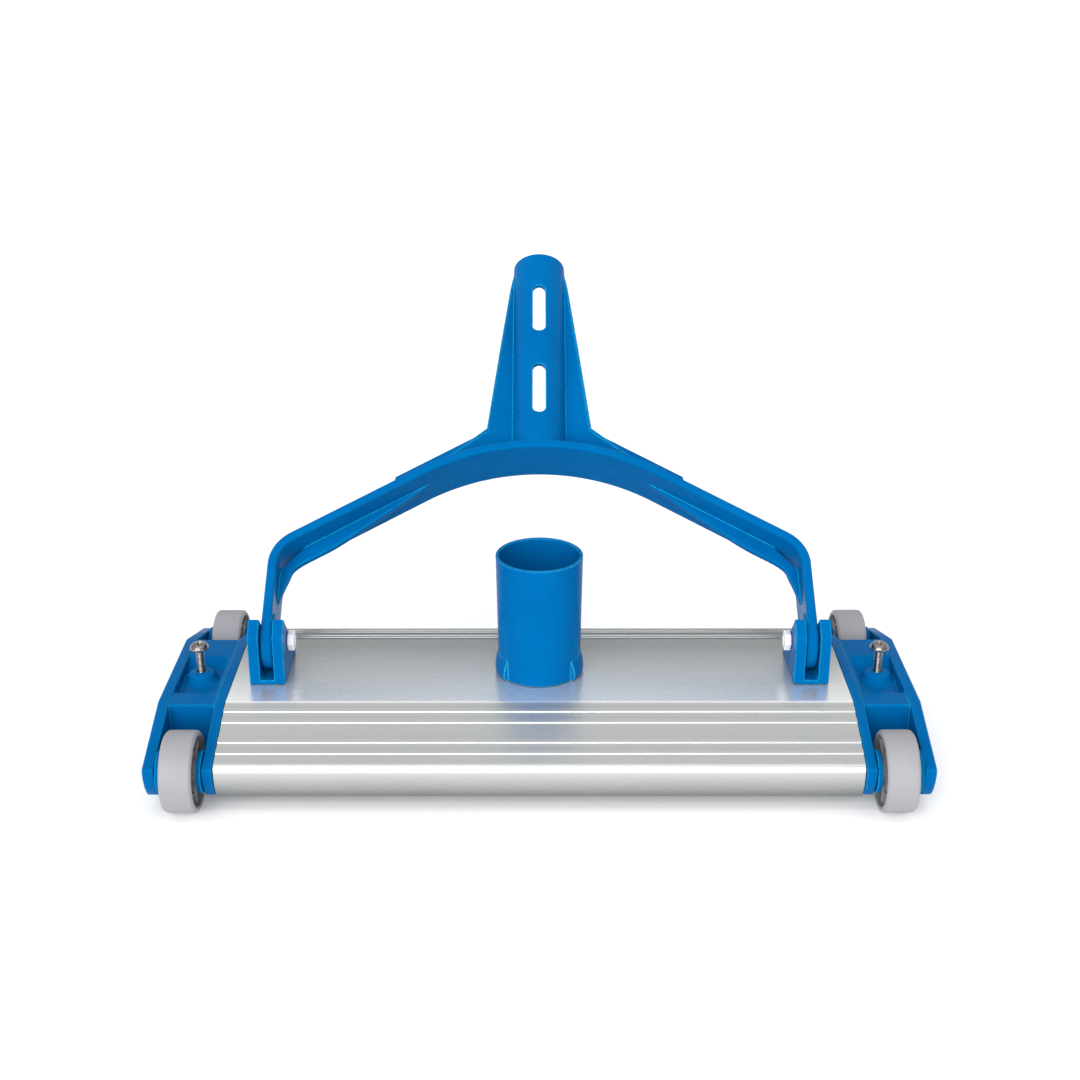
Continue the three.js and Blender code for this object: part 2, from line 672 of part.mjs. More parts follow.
function wheel() {
  const { radius, width, boreRadius, rim, web, hubRadius, treadRound, x } = WHEEL;
  const half = width / 2;
  const hubReach = CARRIAGE.arms[1][0] - GAP - x; // the hub fills the fork, so the wheel can't slide
  const inner = radius - rim;
  return turnedX([
    [boreRadius, -half],
    [hubRadius, -half],
    [hubRadius, -web],
    [inner, -web],
    [inner, -half],
    [radius - treadRound, -half],
    [radius, treadRound - half],
    [radius, half - treadRound],
    [radius - treadRound, half],
    [inner, half],
    [inner, web],
    [hubRadius, web],
    [hubRadius, hubReach],
    [boreRadius, hubReach],
    [boreRadius, -half],
  ]);
}

function adjustingScrew() {
  const { radius, neckRadius, headRadius, headBottom, headTop, tip, cross } = SCREW;
  const shoulder = CARRIAGE.top + GAP;
  const body = turned([
    [0, tip],
    [neckRadius, tip],
    [neckRadius, shoulder],
    [radius, shoulder],
    [radius, headBottom],
    [headRadius, headBottom],
    [headRadius, headBottom + 1.1],
    [headRadius - 0.9, headTop - 0.8],
    [headRadius - 2.6, headTop],
    [0, headTop],
  ], 16);
  const recess = [headTop - cross.depth, headTop + 1];
  const long = [-cross.reach, cross.reach];
  const short = [-cross.half, cross.half];
  return cut(body, block(long, short, recess), block(short, long, recess));
}

function screwClip() {
  const top = CARRIAGE.top - CARRIAGE.web - GAP;
  return ring(CLIP.inner, CLIP.outer, [top - CLIP.thickness, top], 14);
}

const axleSpan = [CARRIAGE.arms[0][0] + 0.1, CARRIAGE.arms[1][1] - 0.1].map((x) => x - WHEEL.x);
for (const [name, side] of SIDES) {
  add(`${name}_wheel_carriage`, carriage(), "blue", { side });
  add(`${name}_adjusting_screw`, adjustingScrew(), "steel", { side, at: [BRACKET.screwX, 0, 0] });
  add(`${name}_screw_clip`, screwClip(), "steel", { side, at: [BRACKET.screwX, 0, 0] });
  for (const [place, end] of ENDS) {
    const at = [WHEEL.x, end * WHEEL.y, WHEEL.radius];
    add(`${name}_${place}_wheel`, wheel(), "wheel", { side, at });
    add(`${name}_${place}_axle`, barX(AXLE_RADIUS, axleSpan, 0, 0, 12), "steel", { side, at });
  }
}

// ---------------------------------------------------------------- origin

// The origin is the middle of the whole footprint, handle included, on the floor.
const reach = new THREE.Box3().setFromObject(head, true);
head.position.y = -(reach.min.y + reach.max.y) / 2;

const part = new THREE.Group();
part.add(head);

export default part;
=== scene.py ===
import json
import math

import bmesh
import bpy
from mathutils import Matrix, Vector

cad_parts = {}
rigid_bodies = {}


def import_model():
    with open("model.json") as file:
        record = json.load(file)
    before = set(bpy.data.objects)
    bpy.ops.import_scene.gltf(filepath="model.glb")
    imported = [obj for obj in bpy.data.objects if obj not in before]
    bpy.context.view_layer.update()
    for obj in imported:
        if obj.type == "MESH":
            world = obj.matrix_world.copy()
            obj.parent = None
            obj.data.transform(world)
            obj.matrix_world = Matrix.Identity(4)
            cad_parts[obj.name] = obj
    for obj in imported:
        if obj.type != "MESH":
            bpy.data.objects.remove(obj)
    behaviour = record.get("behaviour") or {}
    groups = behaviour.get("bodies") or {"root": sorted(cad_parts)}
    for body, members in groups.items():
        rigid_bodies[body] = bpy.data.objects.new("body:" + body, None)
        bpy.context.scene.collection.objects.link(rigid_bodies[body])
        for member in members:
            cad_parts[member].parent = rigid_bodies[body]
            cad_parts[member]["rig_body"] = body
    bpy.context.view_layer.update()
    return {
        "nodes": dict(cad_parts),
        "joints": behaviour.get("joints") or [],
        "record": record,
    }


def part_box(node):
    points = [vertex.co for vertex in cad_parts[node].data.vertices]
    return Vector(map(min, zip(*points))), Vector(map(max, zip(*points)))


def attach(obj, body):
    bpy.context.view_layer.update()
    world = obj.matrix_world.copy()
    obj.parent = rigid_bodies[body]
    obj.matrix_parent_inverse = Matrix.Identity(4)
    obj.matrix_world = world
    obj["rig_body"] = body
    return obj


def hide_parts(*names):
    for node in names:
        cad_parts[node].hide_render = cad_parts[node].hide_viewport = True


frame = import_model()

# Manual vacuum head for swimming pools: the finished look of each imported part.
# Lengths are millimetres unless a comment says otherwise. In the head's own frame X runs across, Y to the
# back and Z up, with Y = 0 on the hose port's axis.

MM = 0.001
PI = math.pi

SLOT_OF = {part["node"]: part["material_slot"] for part in frame["record"]["subparts"]}
HINGE = next(j for j in frame["joints"] if j["name"] == "handle_hinge")["pos_m"]

port_low, port_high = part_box("hose_port")
HEAD = Matrix.Translation((0, (port_low.y + port_high.y) / 2, 0)) @ Matrix.Scale(MM, 4)
LEAN = math.radians(55)  # the yoke's lean from upright, towards the back
YOKE = (
    Matrix.Translation(HINGE)
    @ Matrix.Rotation(PI / 2 - LEAN, 4, "X")
    @ Matrix.Scale(MM, 4)
)
MIRROR = Matrix.Scale(-1, 4, (1, 0, 0))
SIDES = (("left", -1), ("right", 1))
ENDS = (("front", -1), ("rear", 1))
PLACES = {}  # the middle of every CAD node's box
for node in frame["nodes"]:
    low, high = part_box(node)
    PLACES[node] = (low + high) / 2

# Levels of the aluminium plate, from the pool floor up.
PLATE_TOP = 45.0
PLATE_WALL = 2.6
PLATE_BOTTOM = 9.5


def head_xyz(node):
    """Middle of a CAD node, in the head's frame."""
    return HEAD.inverted() @ PLACES[node]


# ---------------------------------------------------------------- outlines


def arc(centre, radius, start, end, step=5):
    """Points along an arc, both ends included. Angles and step in degrees."""
    count = max(2, math.ceil(abs(end - start) / step))
    angles = [math.radians(start + (end - start) * i / count) for i in range(count + 1)]
    return [(centre[0] + radius * math.cos(a), centre[1] + radius * math.sin(a)) for a in angles]


def ring_points(count, radius):
    """Points evenly spaced round a circle."""
    angles = [2 * PI * k / count for k in range(count)]
    return [(radius * math.cos(a), radius * math.sin(a)) for a in angles]


def fillet(points, radius, steps=4, least=14):
    """A closed outline with each corner that turns more than `least` degrees made round."""
    rounded = []
    for i, point in enumerate(points):
        corner = Vector(point)
        back = Vector(points[i - 1]) - corner
        on = Vector(points[(i + 1) % len(points)]) - corner
        turn = PI - back.angle(on)
        if turn < math.radians(least):
            rounded.append(tuple(corner))
            continue
        reach = min(radius * math.tan(turn / 2), 0.45 * back.length, 0.45 * on.length)
        size = reach / math.tan(turn / 2)
        inward = (back.normalized() + on.normalized()).normalized()
        centre = corner + inward * (size / math.cos(turn / 2))
        first = corner + back.normalized() * reach - centre
        last = corner + on.normalized() * reach - centre
        angle = math.atan2(first.y, first.x)
        sweep = (math.atan2(last.y, last.x) - angle + PI) % (2 * PI) - PI
        for k in range(steps + 1):
            a = angle + sweep * k / steps
            rounded.append((centre.x + size * math.cos(a), centre.y + size * math.sin(a)))
    return rounded


def mirrored(half):
    """A right-hand half outline and its mirror image, as one closed outline."""
    return half + [(-a, b) for a, b in reversed(half)]


# ---------------------------------------------------------------- closed shapes


def finished(bm):
    """A new mesh from a bmesh, with every face turned outwards."""
    bmesh.ops.recalc_face_normals(bm, faces=bm.faces)
    mesh = bpy.data.meshes.new("shape")
    bm.to_mesh(mesh)
    bm.free()
    return mesh


def soften(bm, width, segments=3, least=32):
    """Rounds every edge that turns more than `least` degrees."""
    bmesh.ops.recalc_face_normals(bm, faces=bm.faces)
    edges = [e for e in bm.edges if e.calc_face_angle(0) > math.radians(least)]
    bmesh.ops.bevel(
        bm, geom=edges, offset=width, segments=segments, profile=0.5,
        affect="EDGES", clamp_overlap=True,
    )


def prism(outline, low, high, axis="x", edge=0, segments=3):
    """A closed outline stretched along an axis; edge is the radius of its rounded edges."""
    place = {
        "x": lambda a, b, level: (level, a, b),
        "y": lambda a, b, level: (a, level, b),
        "z": lambda a, b, level: (a, b, level),
    }[axis]
    bm = bmesh.new()
    ends = [[bm.verts.new(place(a, b, level)) for a, b in outline] for level in (low, high)]
    for end in ends:
        bm.faces.new(end)
    for i in range(len(outline)):
        bm.faces.new((ends[0][i - 1], ends[0][i], ends[1][i], ends[1][i - 1]))
    if edge:
        soften(bm, edge, segments)
    return finished(bm)


def slab(xs, ys, zs, edge=0, segments=3):
    """A block between two limits along each axis."""
    corners = [(ys[0], zs[0]), (ys[1], zs[0]), (ys[1], zs[1]), (ys[0], zs[1])]
    return prism(corners, xs[0], xs[1], "x", edge, segments)


def turned(profile, centre=(0, 0, 0), axis="z", sides=96, open_bore=False):
    """[radius, level] points turned about an axis, from axis to axis, or as a closed loop round a bore."""
    bm = bmesh.new()
    rings = []
    for radius, level in profile:
        if radius < 1e-6:
            rings.append([bm.verts.new((0, 0, level))])
            continue
        rings.append([bm.verts.new((x, y, level)) for x, y in ring_points(sides, radius)])
    pairs = list(zip(rings, rings[1:]))
    if open_bore:
        pairs.append((rings[-1], rings[0]))
    for a, b in pairs:
        for i in range(sides):
            quad = [a[i % len(a)], a[(i + 1) % len(a)], b[(i + 1) % len(b)], b[i % len(b)]]
            corners = list(dict.fromkeys(quad))
            if len(corners) > 2:
                bm.faces.new(corners)
    if axis == "x":
        bmesh.ops.transform(bm, matrix=Matrix.Rotation(PI / 2, 4, "Y"), verts=bm.verts)
    if axis == "y":
        bmesh.ops.transform(bm, matrix=Matrix.Rotation(-PI / 2, 4, "X"), verts=bm.verts)
    bmesh.ops.translate(bm, vec=centre, verts=bm.verts)
    return finished(bm)


def bar(radius, low, high, centre=(0, 0, 0), axis="z", sides=64, edge=0.3):
    """A round bar with rounded rims."""
    profile = [(radius, low), (radius, high)]
    if edge:
        profile = [(radius - edge, low), *arc((radius - edge, low + edge), edge, -90, 0, 30)[1:],
                   *arc((radius - edge, high - edge), edge, 0, 90, 30)]
    return turned([(0, low), *profile, (0, high)], centre, axis, sides)


def combined(base, adds=(), cuts=(), overlap=()):
    """One closed mesh: base with other shapes joined on, taken out, or limiting it."""
    scene = bpy.context.scene
    used = []

    def place(mesh):
        used.append(bpy.data.objects.new("tool", mesh))
        scene.collection.objects.link(used[-1])
        return used[-1]

    target = place(base)
    for operation, shapes in (("UNION", adds), ("INTERSECT", overlap), ("DIFFERENCE", cuts)):
        for shape in shapes:
            modifier = target.modifiers.new("step", "BOOLEAN")
            modifier.solver = "MANIFOLD"
            modifier.operation = operation
            modifier.object = place(shape)
    bpy.context.view_layer.update()
    mesh = bpy.data.meshes.new_from_object(target.evaluated_get(bpy.context.evaluated_depsgraph_get()))
    for tool in used:
        bpy.data.objects.remove(tool)
    return mesh


def softened(mesh, width, segments=2, least=40):
    """A copy of a mesh with its sharp edges rounded."""
    bm = bmesh.new()
    bm.from_mesh(mesh)
    bmesh.ops.dissolve_limit(bm, angle_limit=math.radians(1), verts=bm.verts, edges=bm.edges)
    soften(bm, width, segments, least)
    return finished(bm)


# ---------------------------------------------------------------- materials

# Colours are linear. Each finish has its own colour and its duller patches, and its edges are coloured apart:
# bare metal where steel and brass wear, scuffs with a painted highlight on plastic, painted shade on the
# aluminium.
BLUE = (0.0002, 0.118, 0.34, 1)
BLUE_DARK = (0.0002, 0.102, 0.31, 1)
# Painted highlight and scuffs along the blue edges.
BLUE_SCUFF_AND_HIGHLIGHT = (0.015, 0.43, 0.70, 1)
# Painted highlight along the port's rim and edges, with scuffs.
BLUE_RIM_SCUFF_AND_HIGHLIGHT = (0.07, 0.60, 0.85, 1)
BLUE_TINT = (0.0, 0.75, 1.0, 1)
PLAIN = (1, 1, 1, 1)
WHEEL_GREY = (0.30, 0.30, 0.32, 1)
# Painted highlight and scuffs along the wheel's edges.
WHEEL_SCUFF_AND_HIGHLIGHT = (0.42, 0.42, 0.44, 1)
WHEEL_DARK = (0.275, 0.275, 0.295, 1)
PIN_WHITE = (0.86, 0.87, 0.90, 1)
# Painted highlight and scuffs along the pin's edges.
PIN_SCUFF_AND_HIGHLIGHT = (0.95, 0.95, 0.96, 1)
PIN_DARK = (0.78, 0.80, 0.84, 1)
ALUMINIUM = (0.575, 0.585, 0.575, 1)
ALUMINIUM_DULL = (0.53, 0.545, 0.54, 1)
# Painted shade for the aluminium's edges and creases.
ALUMINIUM_EDGE_SHADE = (0.30, 0.31, 0.31, 1)
ALUMINIUM_TINT = (0.28, 0.31, 0.33, 1)
STEEL = (0.33, 0.315, 0.305, 1)
STEEL_DULL = (0.17, 0.155, 0.145, 1)
BRASS = (0.72, 0.54, 0.27, 1)
BRASS_DULL = (0.5, 0.36, 0.17, 1)
BARE_METAL = (0.95, 0.93, 0.9, 1)
RUBBER = (0.012, 0.012, 0.013, 1)
RUBBER_BLOOM = (0.035, 0.035, 0.037, 1)


# Cosines of the angle between a face and its rounded normal, where the edge mask begins and where it is full.
STILL_PLAIN = 0.99
FULLY_TURNED = 0.92


class Nodes:
    """Short names for building one material's node tree."""

    def __init__(self, name):
        self.material = bpy.data.materials.new(name)
        self.material.use_nodes = True
        self.tree = self.material.node_tree
        self.shader = self.tree.nodes["Principled BSDF"]
        self.place = self.add("ShaderNodeTexCoord").outputs["Object"]

    def add(self, kind, inputs=None, **settings):
        node = self.tree.nodes.new(kind)
        for key, value in settings.items():
            setattr(node, key, value)
        for key, value in (inputs or {}).items():
            if isinstance(value, bpy.types.NodeSocket):
                self.tree.links.new(value, node.inputs[key])
            else:
                node.inputs[key].default_value = value
        return node

    def math(self, operation, a, b=0.0, clamp=False):
        return self.add("ShaderNodeMath", {0: a, 1: b}, operation=operation, use_clamp=clamp).outputs[0]

    def noise(self, scale, stretch=(1, 1, 1), detail=3.0, roughness=0.5):
        """Noise of `scale` features a metre, stretched along an axis where its factor is small."""
        place = self.add("ShaderNodeVectorMath", {0: self.place, 1: stretch}, operation="MULTIPLY")
        texture = self.add(
            "ShaderNodeTexNoise",
            {"Vector": place.outputs[0], "Scale": scale, "Detail": detail, "Roughness": roughness},
        )
        return texture.outputs["Fac"]

    def ramp(self, value, start, end, low=0.0, high=1.0):
        """`low` where value is at `start`, `high` where it is at `end`, and held beyond them."""
        node = self.add("ShaderNodeMapRange", {
            "Value": value, "From Min": start, "From Max": end, "To Min": low, "To Max": high,
        })
        return node.outputs["Result"]

    def mix(self, factor, a, b):
        node = self.add("ShaderNodeMix", data_type="RGBA")
        for index, value in ((0, factor), (6, a), (7, b)):
            if isinstance(value, bpy.types.NodeSocket):
                self.tree.links.new(value, node.inputs[index])
            else:
                node.inputs[index].default_value = value
        return node.outputs[2]

    def edges(self, radius):
        """1 where the surface turns within `radius` metres and 0 on plain faces, and the rounded normal."""
        bevel = self.add("ShaderNodeBevel", {"Radius": radius}, samples=6)
        geometry = self.add("ShaderNodeNewGeometry")
        dot = self.add(
            "ShaderNodeVectorMath",
            {0: bevel.outputs[0], 1: geometry.outputs["Normal"]},
            operation="DOT_PRODUCT",
        )
        return self.ramp(dot.outputs["Value"], STILL_PLAIN, FULLY_TURNED), bevel.outputs[0]

    def set(self, **inputs):
        for key, value in inputs.items():
            name = key.replace("_", " ")
            if isinstance(value, bpy.types.NodeSocket):
                self.tree.links.new(value, self.shader.inputs[name])
            else:
                self.shader.inputs[name].default_value = value

    def bump(self, height, distance, strength=1.0, normal=None):
        inputs = {"Height": height, "Distance": distance, "Strength": strength}
        if normal is not None:
            inputs["Normal"] = normal
        self.set(Normal=self.add("ShaderNodeBump", inputs).outputs[0])


def moulded_plastic(name, colour, pale, dark, roughness, tint, ior, edge=0.7 * MM, banding=0.0):
    """Injection-moulded plastic: soft mottling, paler edges that are partly scuffs and partly a painted
    highlight, a faint orange-peel surface.
    """
    n = Nodes(name)
    edge_mask, rounded = n.edges(edge)
    # Painted highlight: the pale edge colour stands in for the highlights along rounded edges, mixed with
    # real scuffing.
    scuffs_and_highlights = n.math("MULTIPLY", edge_mask, n.ramp(n.noise(420, detail=4), 0.3, 0.55, 0.35, 1), clamp=True)
    mottle = n.ramp(n.noise(24, detail=5, roughness=0.6), 0.3, 0.7)
    body = n.mix(mottle, dark, colour)
    n.set(
        Base_Color=n.mix(n.math("MULTIPLY", scuffs_and_highlights, 0.7), body, pale),
        Roughness=n.math(
            "ADD",
            n.ramp(n.noise(90, detail=4), 0.3, 0.75, roughness - 0.04, roughness + 0.07),
            n.math("MULTIPLY", scuffs_and_highlights, 0.12),
        ),
        Specular_Tint=tint,
        IOR=ior,
    )
    height = n.math("MULTIPLY", n.noise(900, detail=2), 0.02)
    if banding:
        rings = n.noise(260, stretch=(0.02, 0.02, 1), detail=3)
        height = n.math("ADD", height, n.math("MULTIPLY", rings, banding))
    n.bump(height, 1.0 * MM, 0.6, rounded)
    return n.material


def brushed_aluminium(name):
    """Extruded, satin anodised aluminium: a fine grain along X, painted shade at its back, towards its foot
    and along its edges, and painted light on the front of its top.
    """
    n = Nodes(name)
    edge_mask, rounded = n.edges(0.2 * MM)
    grain = n.noise(2600, stretch=(0.03, 1, 1), detail=3, roughness=0.6)
    speckle = n.noise(2200, detail=2)
    streaks = n.noise(160, stretch=(0.02, 1, 1), detail=3)
    cloud = n.noise(14, stretch=(0.6, 1, 1), detail=4)
    position = n.add("ShaderNodeSeparateXYZ", {0: n.place}).outputs
    port_y = HEAD.translation.y
    top = n.ramp(position["Z"], (PLATE_TOP - 0.6) * MM, PLATE_TOP * MM)
    # Painted light: the flat top grows brighter towards the front, in place of the reflection it shows.
    painted_front_light = n.ramp(position["Y"], port_y + 30 * MM, port_y - 40 * MM, 0.8, 1.8)
    # Painted shade: the rear flank is darker, to hold down its bright grazing reflection.
    rear = n.ramp(position["Y"], port_y + 37 * MM, port_y + 40 * MM, 1.0, 0.8)
    # Painted shade: darker towards the foot, where the skirt reflects the shaded floor under the head.
    foot = n.ramp(position["Z"], 12 * MM, 27 * MM, 0.55, 1.0)
    patches = n.math("ADD", n.math("MULTIPLY", cloud, 0.4), n.math("MULTIPLY", speckle, 0.3))
    tone = n.math("ADD", n.math("MULTIPLY", streaks, 0.3), patches)
    body = n.mix(n.ramp(tone, 0.35, 0.65), ALUMINIUM_DULL, ALUMINIUM)
    flat = n.math("ADD", 1.0, n.math("MULTIPLY", top, n.math("SUBTRACT", painted_front_light, 1.0)))
    shade = n.math("MULTIPLY", n.math("MULTIPLY", foot, rear), flat)
    sheen = n.ramp(n.math("ADD", grain, n.math("MULTIPLY", cloud, 0.1)), 0.35, 0.75, 0.27, 0.33)
    lit = n.add("ShaderNodeVectorMath", {0: body, "Scale": shade}, operation="SCALE").outputs[0]
    n.set(
        # Painted shade along edges and creases, dimming their highlights.
        Base_Color=n.mix(n.ramp(edge_mask, 0.3, 1, 0, 0.35), lit, ALUMINIUM_EDGE_SHADE),
        Metallic=n.ramp(top, 0, 1, 0.92, 0.78),
        Roughness=n.math("SUBTRACT", sheen, n.math("MULTIPLY", top, 0.02)),
        Anisotropic=0.6,
        Specular_Tint=ALUMINIUM_TINT,
        Tangent=n.add("ShaderNodeTangent", direction_type="RADIAL", axis="X").outputs[0],
    )
    n.bump(grain, 0.01 * MM, 0.02, rounded)
    return n.material


def plain_metal(name, colour, shade, roughness):
    """Plated steel or brass with tool marks and duller patches."""
    n = Nodes(name)
    edge_mask, rounded = n.edges(0.25 * MM)
    smudge = n.ramp(n.noise(350, detail=5, roughness=0.6), 0.35, 0.7)
    body = n.mix(smudge, shade, colour)
    n.set(
        Base_Color=n.mix(n.math("MULTIPLY", edge_mask, 0.35), body, BARE_METAL),
        Metallic=1.0,
        Roughness=n.ramp(smudge, 0, 1, roughness + 0.14, roughness),
    )
    n.bump(n.noise(2500, detail=2), 0.02 * MM, 0.12, rounded)
    return n.material


def black_rubber(name):
    """Dull black rubber with a greyish bloom in patches."""
    n = Nodes(name)
    bloom = n.ramp(n.noise(160, detail=5), 0.4, 0.75)
    n.set(
        Base_Color=n.mix(bloom, RUBBER, RUBBER_BLOOM),
        Roughness=n.ramp(bloom, 0, 1, 0.62, 0.82),
    )
    n.bump(n.noise(1400, detail=3), 0.05 * MM, 0.6)
    return n.material


BLUE_PLASTIC = {"tint": BLUE_TINT, "ior": 1.09, "edge": 1.3 * MM}
FINISHES = {
    "blue_plastic": moulded_plastic("semi_gloss_blue", BLUE, BLUE_SCUFF_AND_HIGHLIGHT, BLUE_DARK, 0.24, **BLUE_PLASTIC),
    "wheel_plastic": moulded_plastic("grey_wheel", WHEEL_GREY, WHEEL_SCUFF_AND_HIGHLIGHT, WHEEL_DARK, 0.46, PLAIN, 1.4),
    "pin_plastic": moulded_plastic("white_pin", PIN_WHITE, PIN_SCUFF_AND_HIGHLIGHT, PIN_DARK, 0.34, PLAIN, 1.45),
    "anodised_aluminium": brushed_aluminium("satin_extrusion"),
    "stainless_steel": plain_metal("plated_steel", STEEL, STEEL_DULL, 0.1),
    "brass_insert": plain_metal("turned_brass", BRASS, BRASS_DULL, 0.28),
    "black_rubber": black_rubber("gasket_rubber"),
}
RINGED_BLUE = moulded_plastic(
    "turned_blue", BLUE, BLUE_RIM_SCUFF_AND_HIGHLIGHT, BLUE_DARK, 0.26, banding=0.06, **BLUE_PLASTIC
)


def piece(node, mesh, place=HEAD, finish=None, sharp=38, flip=False):
    """Puts a finished mesh in the frame, in place of one CAD node and on that node's body."""
    matrix = place @ MIRROR if flip else place
    mesh.transform(matrix)
    if matrix.determinant() < 0:
        mesh.flip_normals()
    mesh.shade_smooth()
    mesh.set_sharp_from_angle(angle=math.radians(sharp))
    mesh.materials.clear()
    slot = SLOT_OF[node]
    mesh.materials.append(finish or FINISHES[slot])
    obj = bpy.data.objects.new(f"{node}.finished", mesh)
    bpy.context.scene.collection.objects.link(obj)
    weighted = obj.modifiers.new("weighted_normals", "WEIGHTED_NORMAL")
    weighted.keep_sharp = True
    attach(obj, frame["nodes"][node]["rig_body"])
    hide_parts(node)
    return obj


# ---------------------------------------------------------------- aluminium profile

SEAT = PLATE_TOP + 0.3  # what stands on the plate starts here, clear of its face
HALF_FLAT = 38.9
FALL = 0.3259  # slope of each flank
FLANK = math.atan(FALL)
RIBS = ((4.3, 8.2), (12.1, 16), (25.8, 29.9), (33.7, 37.5))  # start and end of each, down the flank
RIB_HEIGHT = 0.7
RIB_DRAFT = 0.25
NOSE = (80.3, 26.05)
NOSE_RADIUS = 5.2
SKIRT_RADIUS = 32
LIP_WIDTH = 9
PORT_RADIUS = 20.8  # the port's spigot
PORT_HOLE = PORT_RADIUS + 0.4


def flank(distance, height):
    """A point on the sloping face, measured from the crease and square to the face."""
    return (
        HALF_FLAT + distance + height * math.sin(FLANK),
        PLATE_TOP - FALL * distance + height * math.cos(FLANK),
    )


def plate_outline():
    """The profile's section, front to back: flat top, ribbed flanks, round noses and inturned lips."""
    skirt = (NOSE[0] + NOSE_RADIUS - SKIRT_RADIUS, NOSE[1])

    def foot(radius, level):
        return -math.degrees(math.asin((NOSE[1] - level) / radius))

    outer = arc(skirt, SKIRT_RADIUS, 0, foot(SKIRT_RADIUS, PLATE_BOTTOM), 3)
    inner_radius = SKIRT_RADIUS - PLATE_WALL
    inner = arc(skirt, inner_radius, foot(inner_radius, PLATE_BOTTOM + PLATE_WALL), 0, 3)
    lip = outer[-1][0] - LIP_WIDTH
    nose_top = 90 - math.degrees(FLANK)
    ribs = []
    for a, b in RIBS:
        ribs += [
            flank(a, 0), flank(a + RIB_DRAFT, RIB_HEIGHT), flank(b - RIB_DRAFT, RIB_HEIGHT), flank(b, 0),
        ]
    half = [
        (HALF_FLAT, PLATE_TOP),
        *ribs,
        *arc(NOSE, NOSE_RADIUS, nose_top, 0, 5),
        *outer[1:],
        (lip, PLATE_BOTTOM),
        (lip, PLATE_BOTTOM + PLATE_WALL),
        *inner,
        *arc(NOSE, NOSE_RADIUS - PLATE_WALL, 0, nose_top, 8)[1:],
        (HALF_FLAT - PLATE_WALL * math.tan(FLANK / 2), PLATE_TOP - PLATE_WALL),
    ]
    return fillet(mirrored(half), 0.3, 3)


def bracket_screw_hole(x, y):
    """A countersunk hole up through the plate's lip."""
    return turned([(0, 8), (3.7, 8), (3.7, 9.5), (2, 11.2), (2, 22), (0, 22)], (x, y, 0), sides=32)


screws = [head_xyz(f"{side}_bracket_{end}_screw") for side, _ in SIDES for end, _ in ENDS]
clevis_screws = [head_xyz(f"{s}_clevis_{p}_screw") for s, _ in SIDES for p in ("inner", "outer")]
plate_low, plate_high = (HEAD.inverted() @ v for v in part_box("body_extrusion"))
plate = combined(
    prism(plate_outline(), plate_low.x, plate_high.x, "x", 0.25, 2),
    cuts=[
        bar(PORT_HOLE, 40, 47, sides=96, edge=0),
        *[bar(2.1, 40, 47, (c.x, c.y, 0), sides=32, edge=0) for c in clevis_screws],
        *[bracket_screw_hole(c.x, c.y) for c in screws],
    ],
)
piece("body_extrusion", plate)

# ---------------------------------------------------------------- hose port

RIM_Z = 117.6
tube = turned(
    fillet(
        [
            (PORT_RADIUS, 34), (PORT_RADIUS, SEAT), (23.4, SEAT), (23.4, SEAT + 1.2), (24.7, RIM_Z),
            (22.8, RIM_Z), (21.5, SEAT + 8), (19, SEAT + 4), (19, 34),
        ],
        0.75, 4,
    ),
    sides=160, open_bore=True,
)
bead = turned(
    fillet(
        [(22.4, SEAT), (24.8, SEAT), (25.4, SEAT + 2), (25.4, 49), (25, 53), (23.9, 57), (22.4, 59)],
        2.2, 5,
    ),
    sides=160, open_bore=True,
)
lugs = combined(bead, overlap=[slab((-40, 40), (-15.4, 15.4), (40, 70))])
piece("hose_port", combined(tube, adds=[softened(lugs, 0.7, 3, 50)]), finish=RINGED_BLUE)

NUT = (35.6, 40.8)  # its lower and upper face
SPIGOT_FIT = PORT_RADIUS + 0.35  # bore of what is slipped over the spigot
nut = combined(
    prism(fillet(ring_points(8, 29), 1.2), *NUT, "z", 0.6),
    cuts=[bar(SPIGOT_FIT, 30, 45, sides=96, edge=0)],
)
piece("hose_port_locknut", nut)
gasket = fillet([(SPIGOT_FIT, 41.1), (27, 41.1), (27, 42.1), (SPIGOT_FIT, 42.1)], 0.35)
piece("hose_port_gasket", turned(gasket, sides=96, open_bore=True))

# ---------------------------------------------------------------- clevises and their pins

CLEVIS_X = (144.4, 164.4)
SLOT_X = (150.5, 158.3)
HINGE_Y, HINGE_Z = -2, 64.4
PIN_HOLE = 3.25


def stop_height(y):
    """Level of the leaning leg's lower face, less the gap that it keeps to its stop."""
    along = (y - HINGE_Y - 16 * math.cos(LEAN)) / math.sin(LEAN)
    return HINGE_Z - 16 * math.sin(LEAN) + along * math.cos(LEAN) - 0.3 / math.sin(LEAN)


def clevis():
    """Two cheeks on a thin base, with the web that the leaning leg rests on between them."""
    side = fillet([(-20, SEAT), (24, SEAT), (-11.6, 82.6), (-20, 74.2)], 1.1)
    base = [(-20, SEAT), (24, SEAT), (24 - 1.6, SEAT + 2.7), (-20, SEAT + 2.7)]
    stop = [(9, SEAT + 1), (14, SEAT + 1), (14, stop_height(14)), (9, stop_height(9))]
    spans = ((CLEVIS_X[0], SLOT_X[0]), (SLOT_X[1], CLEVIS_X[1]))
    cheeks = [prism(side, *span, "x", 0.7) for span in spans]
    web = prism(fillet(base, 0.4), SLOT_X[0] - 1, SLOT_X[1] + 1)
    rest = prism(stop, SLOT_X[0] - 1, SLOT_X[1] + 1)
    hole = bar(PIN_HOLE, 100, 200, (0, HINGE_Y, HINGE_Z), "x", 48, 0)
    well = bar(6.8, CLEVIS_X[1] - 2, 200, (0, HINGE_Y, HINGE_Z), "x", 64, 0)
    return combined(cheeks[0], adds=[cheeks[1], web, rest], cuts=[hole, well])


